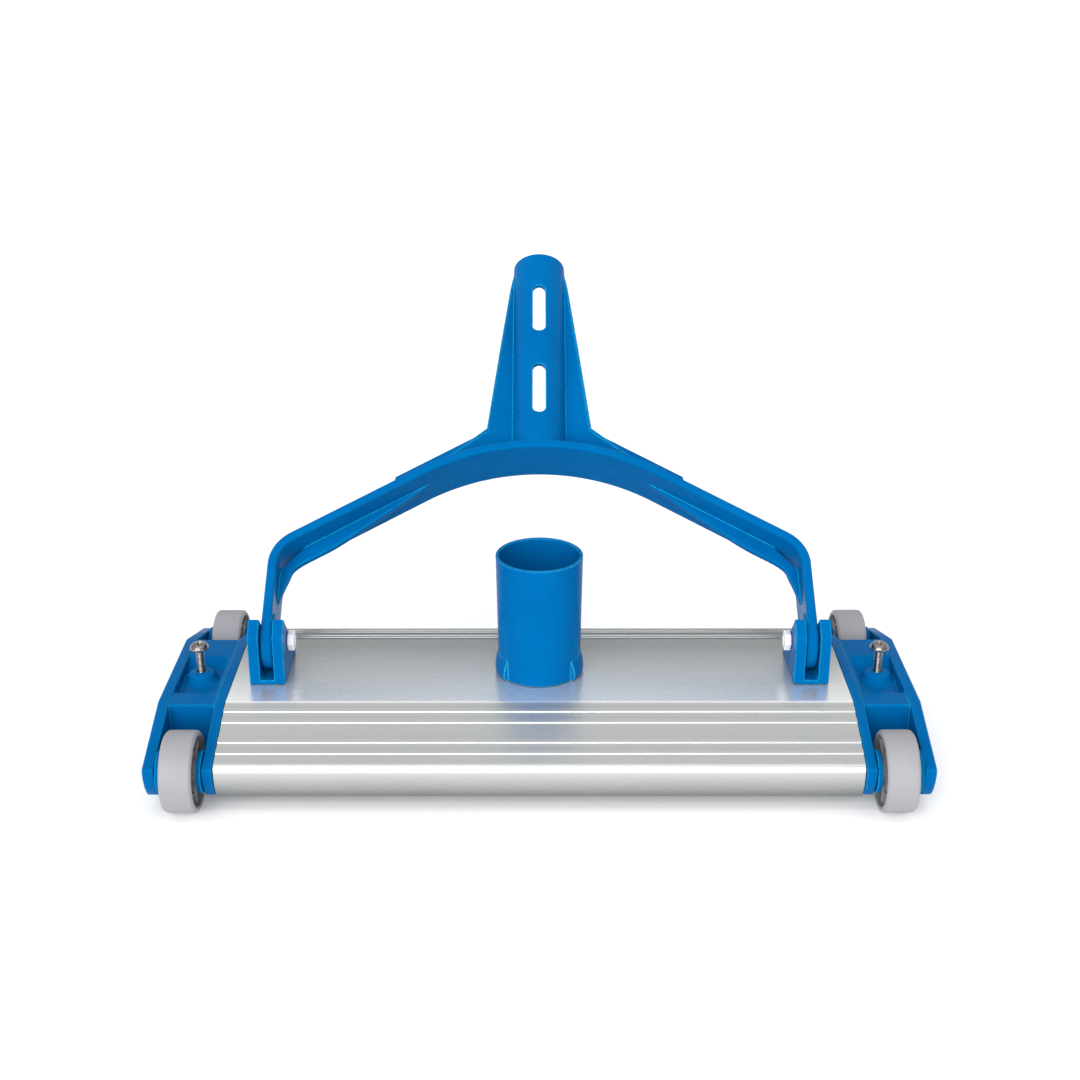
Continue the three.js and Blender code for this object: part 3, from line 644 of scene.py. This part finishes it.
def cross_recess(centre, level, depth, reach, width):
    """A tapered cross-shaped driver recess, opening downwards if depth is negative."""
    arms = []
    for long_way in (0, 1):
        half = (reach, width) if long_way else (width, reach)
        bm = bmesh.new()
        rings = []
        for z, scale in ((level + depth * -0.2, 1.12), (level + depth, 0.6)):
            corners = ((-1, -1), (1, -1), (1, 1), (-1, 1))
            rings.append([
                bm.verts.new((centre[0] + half[0] * sx * scale, centre[1] + half[1] * sy * scale, z))
                for sx, sy in corners
            ])
        bm.faces.new(rings[0])
        bm.faces.new(rings[1])
        for i in range(4):
            bm.faces.new((rings[0][i - 1], rings[0][i], rings[1][i], rings[1][i - 1]))
        arms.append(finished(bm))
    return arms


def clevis_screw(x, y):
    """A pan-head screw from under the plate up into a cheek."""
    under = PLATE_TOP - PLATE_WALL - 0.3
    low = under - 2.3
    body = turned(
        [
            (0, low), *arc((2.2, low + 1.4), 1.4, -90, 0, 15), (3.6, under), (1.7, under),
            (1.7, SEAT + 11.5), (1.2, SEAT + 12), (0, SEAT + 12),
        ],
        (x, y, 0), sides=40,
    )
    return combined(body, cuts=cross_recess((x, y), low, 1.3, 2.0, 0.45))


def hinge_pin():
    """A plastic pin with a dimpled hexagonal head at its inner end."""
    head = prism(fillet(ring_points(6, 5.8), 0.5), -16.5, -12.7, "x", 0.55)
    shaft = bar(3, -13.5, 7.4, axis="x", edge=0.5)
    dimple = bar(3.4, -18, -16.05, axis="x", edge=0)
    return combined(head, adds=[shaft], cuts=[dimple])


def pin_retainer():
    """A dished push-on fastener with a ring of teeth that grip the pin."""
    dish = turned(
        fillet([(3.1, 0.5), (4.4, 0.15), (6, 0), (6, 0.5), (5.6, 0.55), (4.5, 0.7), (3.1, 1.2)], 0.12, 2),
        axis="x", sides=96, open_bore=True,
    )
    notches = []
    for k in range(6):
        notch = slab((-1, 2), (-0.35, 0.35), (2.5, 4.5))
        notch.transform(Matrix.Rotation(k * PI / 3, 4, "X"))
        notches.append(notch)
    return combined(dish, cuts=notches)


for side, sign in SIDES:
    flip = sign < 0
    piece(f"{side}_clevis", clevis(), flip=flip)
    for place in ("inner", "outer"):
        node = f"{side}_clevis_{place}_screw"
        spot = head_xyz(node)
        piece(node, clevis_screw(spot.x, spot.y))
    pin_place = HEAD @ Matrix.Translation((sign * 156.8, HINGE_Y, HINGE_Z))
    piece(f"{side}_hinge_pin", hinge_pin(), pin_place, flip=flip)
    clip_place = HEAD @ Matrix.Translation((sign * (CLEVIS_X[1] - 1.7), HINGE_Y, HINGE_Z))
    piece(f"{side}_pin_retainer", pin_retainer(), clip_place, flip=flip)

# ---------------------------------------------------------------- yoke handle

# In the yoke's own frame X runs across, Y along the handle from the hinge and Z out of its front face.
LEG_OUTER, LEG_INNER = 157.9, 152.3
STRAP = 5.6
HALF_DEPTH = 16
CORNER_RADIUS = 25
ARM_RISE = 0.625
ARM_LEVEL = 155.5
ARM_STRETCH = math.hypot(1, ARM_RISE)
ARM_ANGLE = math.degrees(math.atan2(1, ARM_RISE))
ARCH_RADIUS = 136
CORNER = (
    LEG_OUTER - CORNER_RADIUS,
    ARM_LEVEL - ARM_RISE * (LEG_OUTER - CORNER_RADIUS) - CORNER_RADIUS * ARM_STRETCH,
)
ARCH_CENTRE = (0, ARM_LEVEL - ARCH_RADIUS * ARM_STRETCH)
CRADLE, CRADLE_BORE = 16.9, 13.9  # radii outside and inside
POLE_ROOM = (131.5, 300)  # what is cleared for the pole, along the handle
BOLT_SLOTS = (170.5, 235)  # middle of each slot, along the handle
NECK_TOP = 271.5
PANEL_TOP = 279.5
YOKE_LENGTH = 281
CRADLE_SET = -0.9  # the cradle's axis, in front of the yoke's middle plane


def yoke_strap():
    """The strap of even thickness that forms both legs, both arms and the arch between them."""
    outer = [(LEG_OUTER, 0), *arc(CORNER, CORNER_RADIUS, 0, ARM_ANGLE, 4)]
    outer += arc(ARCH_CENTRE, ARCH_RADIUS, ARM_ANGLE, 90, 1.5)[:-1]
    inner = [*arc(ARCH_CENTRE, ARCH_RADIUS - STRAP, 90, ARM_ANGLE, 1.5)]
    inner += [*arc(CORNER, CORNER_RADIUS - STRAP, ARM_ANGLE, 0, 5), (LEG_INNER, 0)]
    crown = [(0, ARCH_CENTRE[1] + ARCH_RADIUS)]
    left_outer = [(-x, y) for x, y in reversed(outer)]
    left_inner = [(-x, y) for x, y in reversed(inner[1:])]
    outline = outer + crown + left_outer + left_inner + inner
    return prism(outline, -HALF_DEPTH, HALF_DEPTH, "z", 1.7, 4)


def corner_rib(sign):
    """A thin rib on the mid-plane inside one corner of the yoke, with a smooth free edge."""

    def inside(x, depth):
        return (x, ARM_LEVEL - ARM_RISE * x - (STRAP + depth) * ARM_STRETCH)

    knots = [(LEG_INNER - 0.5, 24), (147, 39), (141.9, 48.8), inside(120, 9), inside(92, 4.6), inside(64, 0)]
    crest = []
    for i in range(len(knots) - 1):
        a, b = knots[max(i - 1, 0)], knots[i]
        c, d = knots[i + 1], knots[min(i + 2, len(knots) - 1)]
        for k in range(6):
            u = k / 6
            crest.append(tuple(
                0.5 * (2 * b[j] + (c[j] - a[j]) * u + (2 * a[j] - 5 * b[j] + 4 * c[j] - d[j]) * u * u
                       + (3 * b[j] - a[j] - 3 * c[j] + d[j]) * u ** 3)
                for j in (0, 1)
            ))
    crest.append(knots[-1])
    core = [inside(64, -3), inside(CORNER[0], -3), (LEG_INNER + 3, CORNER[1]), (LEG_INNER + 3, 24)]
    outline = [(sign * x, y) for x, y in crest + core]
    return prism(outline, -2, 2, "z", 0.9, 3)


def neck_gusset():
    """The flat web between the arms and the foot of the neck."""
    half = [(88, 97.5), (88, 112.5), (32.2, 147.4), (17.6, NECK_TOP)]
    middle = ARCH_RADIUS - STRAP / 2
    lower = arc(ARCH_CENTRE, middle, 180 - ARM_ANGLE, ARM_ANGLE, 2)
    outline = half + [(-x, y) for x, y in reversed(half)] + lower
    return prism(outline, -2, 2, "z", 0.7, 2)


# Level along the handle, half width there and share of the rim's height, from the gusset up.
PANEL_SECTIONS = (
    (127.5, 57, 0),
    (143.4, 32.3, 1),
    (210, 24.9, 1),
    (262, 18.8, 1),
    (PANEL_TOP, 15.6, 1),
)
PANEL_WIDTH = 17.6  # from the cradle to the rim, where the panel is widest
PANEL_SLOPE = 6.4
PANEL_RIM = 1.5


def neck_panel(sign):
    """The panel on one side of the cradle: it leans forward to a raised rim and flares into the gusset."""
    bm = bmesh.new()
    sections = []
    for level, edge, lift in PANEL_SECTIONS:
        inner = min(14.6, edge - 3)
        rise = (edge - inner) / PANEL_WIDTH * lift
        face = 1.6 + PANEL_SLOPE * rise
        crest = face + PANEL_RIM * rise
        profile = [
            (inner, -1.5), (edge - 0.4, -3 * rise), (edge, crest),
            (edge - 1.2, crest + 0.1), (edge - 1.7, face), (inner, 2.2),
        ]
        sections.append([bm.verts.new((sign * x, level, z)) for x, z in profile])
    for a, b in zip(sections, sections[1:]):
        for i in range(len(a)):
            bm.faces.new((a[i - 1], a[i], b[i], b[i - 1]))
    bm.faces.new(sections[0])
    bm.faces.new(sections[-1])
    soften(bm, 0.5, 2, 40)
    return finished(bm)


def cradle():
    """The half-round seat for the pole, with an end wall at its foot."""
    foot = ARCH_CENTRE[1] + ARCH_RADIUS - STRAP / 2
    spread = math.degrees(math.asin(3 / CRADLE))
    axis = (0, CRADLE_SET)
    lip = CRADLE_SET - 3
    shell = [
        *arc(axis, CRADLE, -spread, 180 + spread, 4),
        (-CRADLE_BORE, lip),
        *arc(axis, CRADLE_BORE, 180, 0, 4),
        (CRADLE_BORE, lip),
    ]
    plug = arc(axis, CRADLE - 0.4, -spread, 180 + spread, 4)
    return (
        prism(shell, foot, YOKE_LENGTH, "y", 0.7, 3),
        prism(plug, foot, foot + 3.2, "y"),
    )


def bolt_slot(centre):
    """A round-ended slot."""
    half = 15
    outline = arc((0, centre + half), 4, 0, 180, 9) + arc((0, centre - half), 4, 180, 360, 9)
    return prism(outline, 5, 40, "z")


def yoke():
    """The whole handle, one moulding, in its own frame."""
    eyes = [
        bar(HALF_DEPTH, *span, axis="x", sides=96, edge=1.7)
        for span in ((LEG_OUTER - 7, LEG_OUTER), (-LEG_OUTER, 7 - LEG_OUTER))
    ]
    seat, plug = cradle()
    bore = bar(CRADLE_BORE, *POLE_ROOM, (0, 0, CRADLE_SET), "y", 96, 0)
    behind = slab((-CRADLE_BORE, CRADLE_BORE), POLE_ROOM, (-30, CRADLE_SET))
    body = combined(
        yoke_strap(),
        adds=[*eyes, corner_rib(-1), corner_rib(1), neck_gusset(), neck_panel(-1), neck_panel(1), plug],
        cuts=[bore, behind],
    )
    pin_hole = bar(PIN_HOLE, -200, 200, axis="x", sides=48, edge=0)
    return combined(body, adds=[seat], cuts=[pin_hole, *[bolt_slot(middle) for middle in BOLT_SLOTS]])


piece("handle", yoke(), YOKE)

# ---------------------------------------------------------------- end brackets

INNER_CHEEK = (175.3, 181)
OUTER_CHEEK = (206.5, 212.7)
POCKET = {"x": (183.4, 206.3), "rim": (-26.5, 19), "floor": (-18.5, 11), "level": 38.2}
DECK_HALF = 41.3
DECK_INNER = 38.6
DECK_TOP = 43.7
DECK_UNDER = 34.4
DECK_FOOT = 14
INTO_CHEEK = 1.5  # how far the bridge runs into each cheek
BOSS_TOP = 44
SCREW_X = 196
TONGUE = {"x": (157, 177), "y": (71, 78.6), "z": (12.5, 22)}
TONGUE_SCREW = (166, 76)
ARM_SLOTS = ((180.6, 184.8), (202.3, 207))
ARM_SLOT_TOP = 28.2
INSERT_TOP = 42


def cheek_outline():
    """A cheek's outline: it follows the plate's top and flanks, with a rounded face at each end."""
    edge_z = PLATE_TOP - FALL * (86.5 - HALF_FLAT)
    face_top = edge_z - 1.8
    face = arc((87 - 26, face_top), 26, 0, -math.degrees(math.asin((face_top - 9.8) / 26)), 4)
    half = [(HALF_FLAT, PLATE_TOP), (85.6, edge_z + 0.3), (86.5, edge_z - 0.4), *face]
    return fillet(mirrored(half), 0.8, 3, 24)


def deck():
    """The bridge between the cheeks: an inverted U with a shallow pocket in its top."""
    half = [
        (DECK_INNER, DECK_UNDER), (DECK_INNER, DECK_FOOT), (DECK_HALF, DECK_FOOT), (DECK_HALF, DECK_TOP),
    ]
    bridge = prism(mirrored(half), INNER_CHEEK[1] - INTO_CHEEK, OUTER_CHEEK[0] + INTO_CHEEK, "x")
    front, rear = POCKET["rim"]
    floor_front, floor_rear = POCKET["floor"]
    level = POCKET["level"]
    above = BOSS_TOP + 16
    dip = [
        (front, DECK_TOP), (floor_front, level), (floor_rear, level), (rear, DECK_TOP),
        (rear, above), (front, above),
    ]
    return softened(combined(bridge, cuts=[prism(dip, *POCKET["x"])]), 1.1, 4, 25)


def end_bracket():
    """Two cheeks, the deck between them, the boss for the insert, and tongues into the plate's ends."""
    cheeks = [prism(cheek_outline(), *span, "x", 0.8, 3) for span in (INNER_CHEEK, OUTER_CHEEK)]
    root = DECK_UNDER + 0.5
    boss = turned(
        [
            (0, root), (10.2, root), (11.2, POCKET["level"]), (10, 38.6), (9, 39.5), (8.1, 40.8),
            *arc((5.3, 41), 2.6, 10, 60, 10), (4.6, BOSS_TOP - 0.25), (3.4, BOSS_TOP), (0, BOSS_TOP),
        ],
        (SCREW_X, 0, 0), sides=64,
    )
    tongues = [
        slab(TONGUE["x"], sorted(end * y for y in TONGUE["y"]), TONGUE["z"], 0.5, 2) for _, end in ENDS
    ]
    holes = [
        bar(2, 5, 30, (TONGUE_SCREW[0], end * TONGUE_SCREW[1], 0), sides=32, edge=0) for _, end in ENDS
    ]
    slots = [slab(span, (-60, 60), (5, ARM_SLOT_TOP)) for span in ARM_SLOTS]
    slots += [slab(span, (-DECK_INNER, DECK_INNER), (5, DECK_UNDER)) for span in ARM_SLOTS]
    bridge = combined(deck(), cuts=slots)
    return combined(
        cheeks[0],
        adds=[cheeks[1], bridge, boss, *tongues],
        cuts=[
            bar(4.5, 20, INSERT_TOP + 0.3, (SCREW_X, 0, 0), sides=48, edge=0),
            bar(2.9, 20, 60, (SCREW_X, 0, 0), sides=48, edge=0),
            *holes,
        ],
    )


def bracket_screw(x, y):
    """A countersunk screw up through the plate's lip into a tongue."""
    low = PLATE_BOTTOM + 0.2
    tip = PLATE_BOTTOM + 11
    body = turned(
        [(0, low), (3.2, low), (3.4, low + 0.2), (1.7, low + 1.8), (1.7, tip - 1), (0.6, tip), (0, tip)],
        (x, y, 0), sides=40,
    )
    return combined(body, cuts=cross_recess((x, y), low, 1.2, 1.9, 0.4))


def threaded_insert():
    """A brass sleeve with a groove round its middle."""
    section = [
        (2.6, 35.4), (4.2, 35.4), (4.2, 37.8), (3.8, 38.1), (3.8, 39), (4.2, 39.3),
        (4.2, INSERT_TOP), (2.6, INSERT_TOP),
    ]
    return turned(fillet(section, 0.2, 2), sides=64, open_bore=True)


for side, sign in SIDES:
    flip = sign < 0
    piece(f"{side}_end_bracket", end_bracket(), flip=flip)
    for end, _ in ENDS:
        node = f"{side}_bracket_{end}_screw"
        spot = head_xyz(node)
        piece(node, bracket_screw(spot.x, spot.y))
    piece(f"{side}_threaded_insert", threaded_insert(), HEAD @ Matrix.Translation((sign * SCREW_X, 0, 0)))

# ---------------------------------------------------------------- wheel carriages

WHEEL_RADIUS = 22.3
WHEEL_X = 193.2
WHEEL_Y = 76
HALF_WHEEL = 8.75  # half the tread's width
CARRIAGE_ARMS = ((181.4, 184), (203.1, 206.2))
CARRIAGE_TOP = 34
CARRIAGE_DECK = 4
CARRIAGE_HALF = 38.2
ARM_TOP = 27.5
SCREW_PITCH = 0.8
ARM_RADIUS = 11.7


def carriage():
    """Two arms that hold the axles, joined by a ribbed deck that the adjusting screw pushes on."""
    shoulder = 180 - math.degrees(math.asin((ARM_TOP - WHEEL_RADIUS) / ARM_RADIUS))
    wheel_end = arc((WHEEL_Y, WHEEL_RADIUS), ARM_RADIUS, shoulder, -90, 6)
    outline = mirrored([(CARRIAGE_HALF, CARRIAGE_TOP), (CARRIAGE_HALF, ARM_TOP), *wheel_end])
    arms = [prism(outline, *span, "x", 0.5, 2) for span in CARRIAGE_ARMS]
    across = (CARRIAGE_ARMS[0][0] + 1, CARRIAGE_ARMS[1][1] - 1)
    under = CARRIAGE_TOP - CARRIAGE_DECK
    deck = slab(across, (-CARRIAGE_HALF, CARRIAGE_HALF), (under, CARRIAGE_TOP), 0.5, 2)
    walls = [sorted((end * 35.8, end * CARRIAGE_HALF)) for _, end in ENDS]
    ends = [slab(across, wall, (12, CARRIAGE_TOP - 0.5), 0.4, 2) for wall in walls]
    stiffeners = [slab(across, (y - 0.9, y + 0.9), (24, CARRIAGE_TOP - 1)) for y in (-20, 20)]
    holes = [bar(2.7, 150, 250, (0, end * WHEEL_Y, WHEEL_RADIUS), "x", 40, 0) for _, end in ENDS]
    neck = bar(2, 10, 40, (SCREW_X, 0, 0), sides=32, edge=0)
    return combined(arms[0], adds=[arms[1], deck, *ends, *stiffeners], cuts=[*holes, neck])


def wheel():
    """A spoked wheel: rim with a faint mould line round the tread, web, middle ring, six spokes and hub."""
    half_tread = [
        (WHEEL_RADIUS, 0.25), (WHEEL_RADIUS, 5.5), (22.15, 7.6), (20.9, HALF_WHEEL), (19.2, HALF_WHEEL),
    ]
    mould_line = (WHEEL_RADIUS - 0.12, 0)
    tread = [(radius, -x) for radius, x in reversed(half_tread)] + [mould_line] + half_tread
    inner = [
        (18.9, 1.5), (6.5, 1.5), (6.5, 9.6), (2.8, 9.6),
        (2.8, -HALF_WHEEL), (6.5, -HALF_WHEEL), (6.5, -1.5), (18.9, -1.5),
    ]
    body = turned(fillet(tread + inner, 0.55, 3, 16), axis="x", sides=144, open_bore=True)
    ring_section = fillet([(12.2, -5.6), (13.8, -5.6), (13.8, 5.6), (12.2, 5.6)], 0.4, 3)
    ring = turned(ring_section, axis="x", sides=96, open_bore=True)
    spokes = []
    for k in range(6):
        spoke = slab((-6.6, 6.6), (-0.95, 0.95), (5.6, 20), 0.35, 2)
        spoke.transform(Matrix.Rotation(k * PI / 3, 4, "X"))
        spokes.append(spoke)
    return combined(body, adds=[ring, *spokes])


def threaded_shank(radius, pitch, low, high, depth, sides=32, steps_per_turn=10):
    """A closed rod with a helical thread that fades out at both ends."""
    bm = bmesh.new()
    count = int((high - low) / pitch * steps_per_turn)
    rings = []
    for i in range(count + 1):
        z = low + (high - low) * i / count
        fade = min(1, (z - low) / pitch, (high - z) / pitch)
        ring = []
        for k in range(sides):
            phase = (z / pitch - k / sides) % 1
            tooth = 1 - abs(2 * phase - 1)
            r = radius - depth * fade * min(1, 1.35 * tooth)
            ring.append(bm.verts.new((r * math.cos(2 * PI * k / sides), r * math.sin(2 * PI * k / sides), z)))
        rings.append(ring)
    for a, b in zip(rings, rings[1:]):
        for k in range(sides):
            bm.faces.new((a[k - 1], a[k], b[k], b[k - 1]))
    bm.faces.new(rings[0])
    bm.faces.new(rings[-1])
    return finished(bm)


def adjusting_screw():
    """A pan-head screw with a thread above its shoulder and a thin neck through the carriage's deck."""
    shoulder = CARRIAGE_TOP + 0.3
    head = turned(
        [
            (0, 58), (2.2, 58), (2.2, 58.3), (5.1, 58.3), (5.5, 58.7), (5.5, 59.4),
            *arc((1.9, 58.6), 3.4, 14, 84, 10), (0, 62),
        ],
        sides=64,
    )
    neck = bar(1.7, 27, shoulder + 0.5, sides=32, edge=0.25)
    shank = threaded_shank(2.35, SCREW_PITCH, shoulder, 58.2, 0.22)
    return combined(head, adds=[neck, shank], cuts=cross_recess((0, 0), 62, -1.9, 3.0, 0.62))


def screw_clip():
    """An open spring ring that holds the screw's neck below the carriage."""
    top = CARRIAGE_TOP - CARRIAGE_DECK - 0.3
    low = top - 1.1
    section = fillet([(1.95, low), (4.3, low), (4.3, top), (1.95, top)], 0.2, 2)
    ring = turned(section, open_bore=True, sides=48)
    return combined(ring, cuts=[slab((-1.3, 1.3), (-6, -0.5), (top - 3, top + 2))])


WHEEL = wheel()
for side, sign in SIDES:
    flip = sign < 0
    screw_place = HEAD @ Matrix.Translation((sign * SCREW_X, 0, 0))
    piece(f"{side}_wheel_carriage", carriage(), flip=flip)
    piece(f"{side}_adjusting_screw", adjusting_screw(), screw_place)
    piece(f"{side}_screw_clip", screw_clip(), screw_place)
    for end, _ in ENDS:
        axle = f"{side}_{end}_axle"
        middle = head_xyz(axle)
        at = (sign * WHEEL_X, middle.y, middle.z)
        piece(f"{side}_{end}_wheel", WHEEL.copy(), HEAD @ Matrix.Translation(at), flip=flip)
        span = HEAD.inverted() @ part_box(axle)[1] - HEAD.inverted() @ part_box(axle)[0]
        rod = bar(2.5, -span.x / 2, span.x / 2, axis="x", sides=48, edge=0.5)
        piece(axle, rod, HEAD @ Matrix.Translation(middle))

# ---------------------------------------------------------------- floor, light and camera

scene = bpy.context.scene
scene.view_settings.view_transform = "Standard"


FLOOR_HALF = 30.0  # metres
FLOOR_GREY = (0.95, 0.95, 0.95, 1)
FLOOR_PALE = (0.97, 0.97, 0.97, 1)


def floor():
    """A wide pale floor that glows a little, so that it goes white where the light falls on it."""
    bm = bmesh.new()
    signs = ((-1, -1), (1, -1), (1, 1), (-1, 1))
    corners = [bm.verts.new((FLOOR_HALF * x, FLOOR_HALF * y, 0)) for x, y in signs]
    bm.faces.new(corners)
    obj = bpy.data.objects.new("floor", finished(bm))
    n = Nodes("pale_floor")
    n.set(
        Base_Color=n.mix(n.noise(1.5), FLOOR_GREY, FLOOR_PALE),
        Roughness=0.9,
        Specular_IOR_Level=0.1,
        Emission_Color=(1, 1, 1, 1),
        Emission_Strength=0.09,
    )
    obj.data.materials.append(n.material)
    scene.collection.objects.link(obj)


def lamp(name, kind, place, target, energy, **settings):
    """A light at a place in metres, aimed at a target."""
    data = bpy.data.lights.new(name, kind)
    data.energy = energy
    for key, value in settings.items():
        setattr(data, key, value)
    obj = bpy.data.objects.new(name, data)
    obj.location = place
    obj.rotation_euler = (Vector(target) - Vector(place)).to_track_quat("-Z", "Y").to_euler()
    scene.collection.objects.link(obj)


floor()
ORIGIN = (0, 0, 0)
MIDDLE = (0, 0, 0.08)
KEY_FROM = (-0.24, -0.94, 0.35)
OVERHEAD_AT = (0, -0.55, 1.3)
lamp("key", "SUN", KEY_FROM, ORIGIN, 3.05, angle=math.radians(62))
lamp("overhead", "AREA", OVERHEAD_AT, MIDDLE, 2.6, shape="RECTANGLE", size=2.0, size_y=0.12)

SKY_AT_HORIZON = (0.68, 0.68, 0.68, 1)
SKY_OVERHEAD = (0.86, 0.86, 0.86, 1)
world = bpy.data.worlds.new("studio")
world.use_nodes = True
sky = world.node_tree
up = sky.nodes.new("ShaderNodeSeparateXYZ")
sky.links.new(sky.nodes.new("ShaderNodeTexCoord").outputs["Generated"], up.inputs[0])
shade = sky.nodes.new("ShaderNodeMix")
shade.data_type = "RGBA"
shade.inputs[6].default_value = SKY_AT_HORIZON
shade.inputs[7].default_value = SKY_OVERHEAD
sky.links.new(up.outputs["Z"], shade.inputs[0])
sky.links.new(shade.outputs[2], sky.nodes["Background"].inputs["Color"])
scene.world = world

camera = bpy.data.objects.new("camera", bpy.data.cameras.new("camera"))
camera.data.lens = 53.42
camera.data.sensor_width = 36
CAMERA_PLACE = HEAD @ Vector((-0.5, -827.65, 474.69))
CAMERA_TARGET = HEAD @ Vector((0.38, 1.78, 125.34))
camera.location = CAMERA_PLACE
camera.rotation_euler = (CAMERA_TARGET - CAMERA_PLACE).to_track_quat("-Z", "Y").to_euler()
camera.data.clip_start = 0.01
camera.data.clip_end = 200
scene.collection.objects.link(camera)
scene.camera = camera
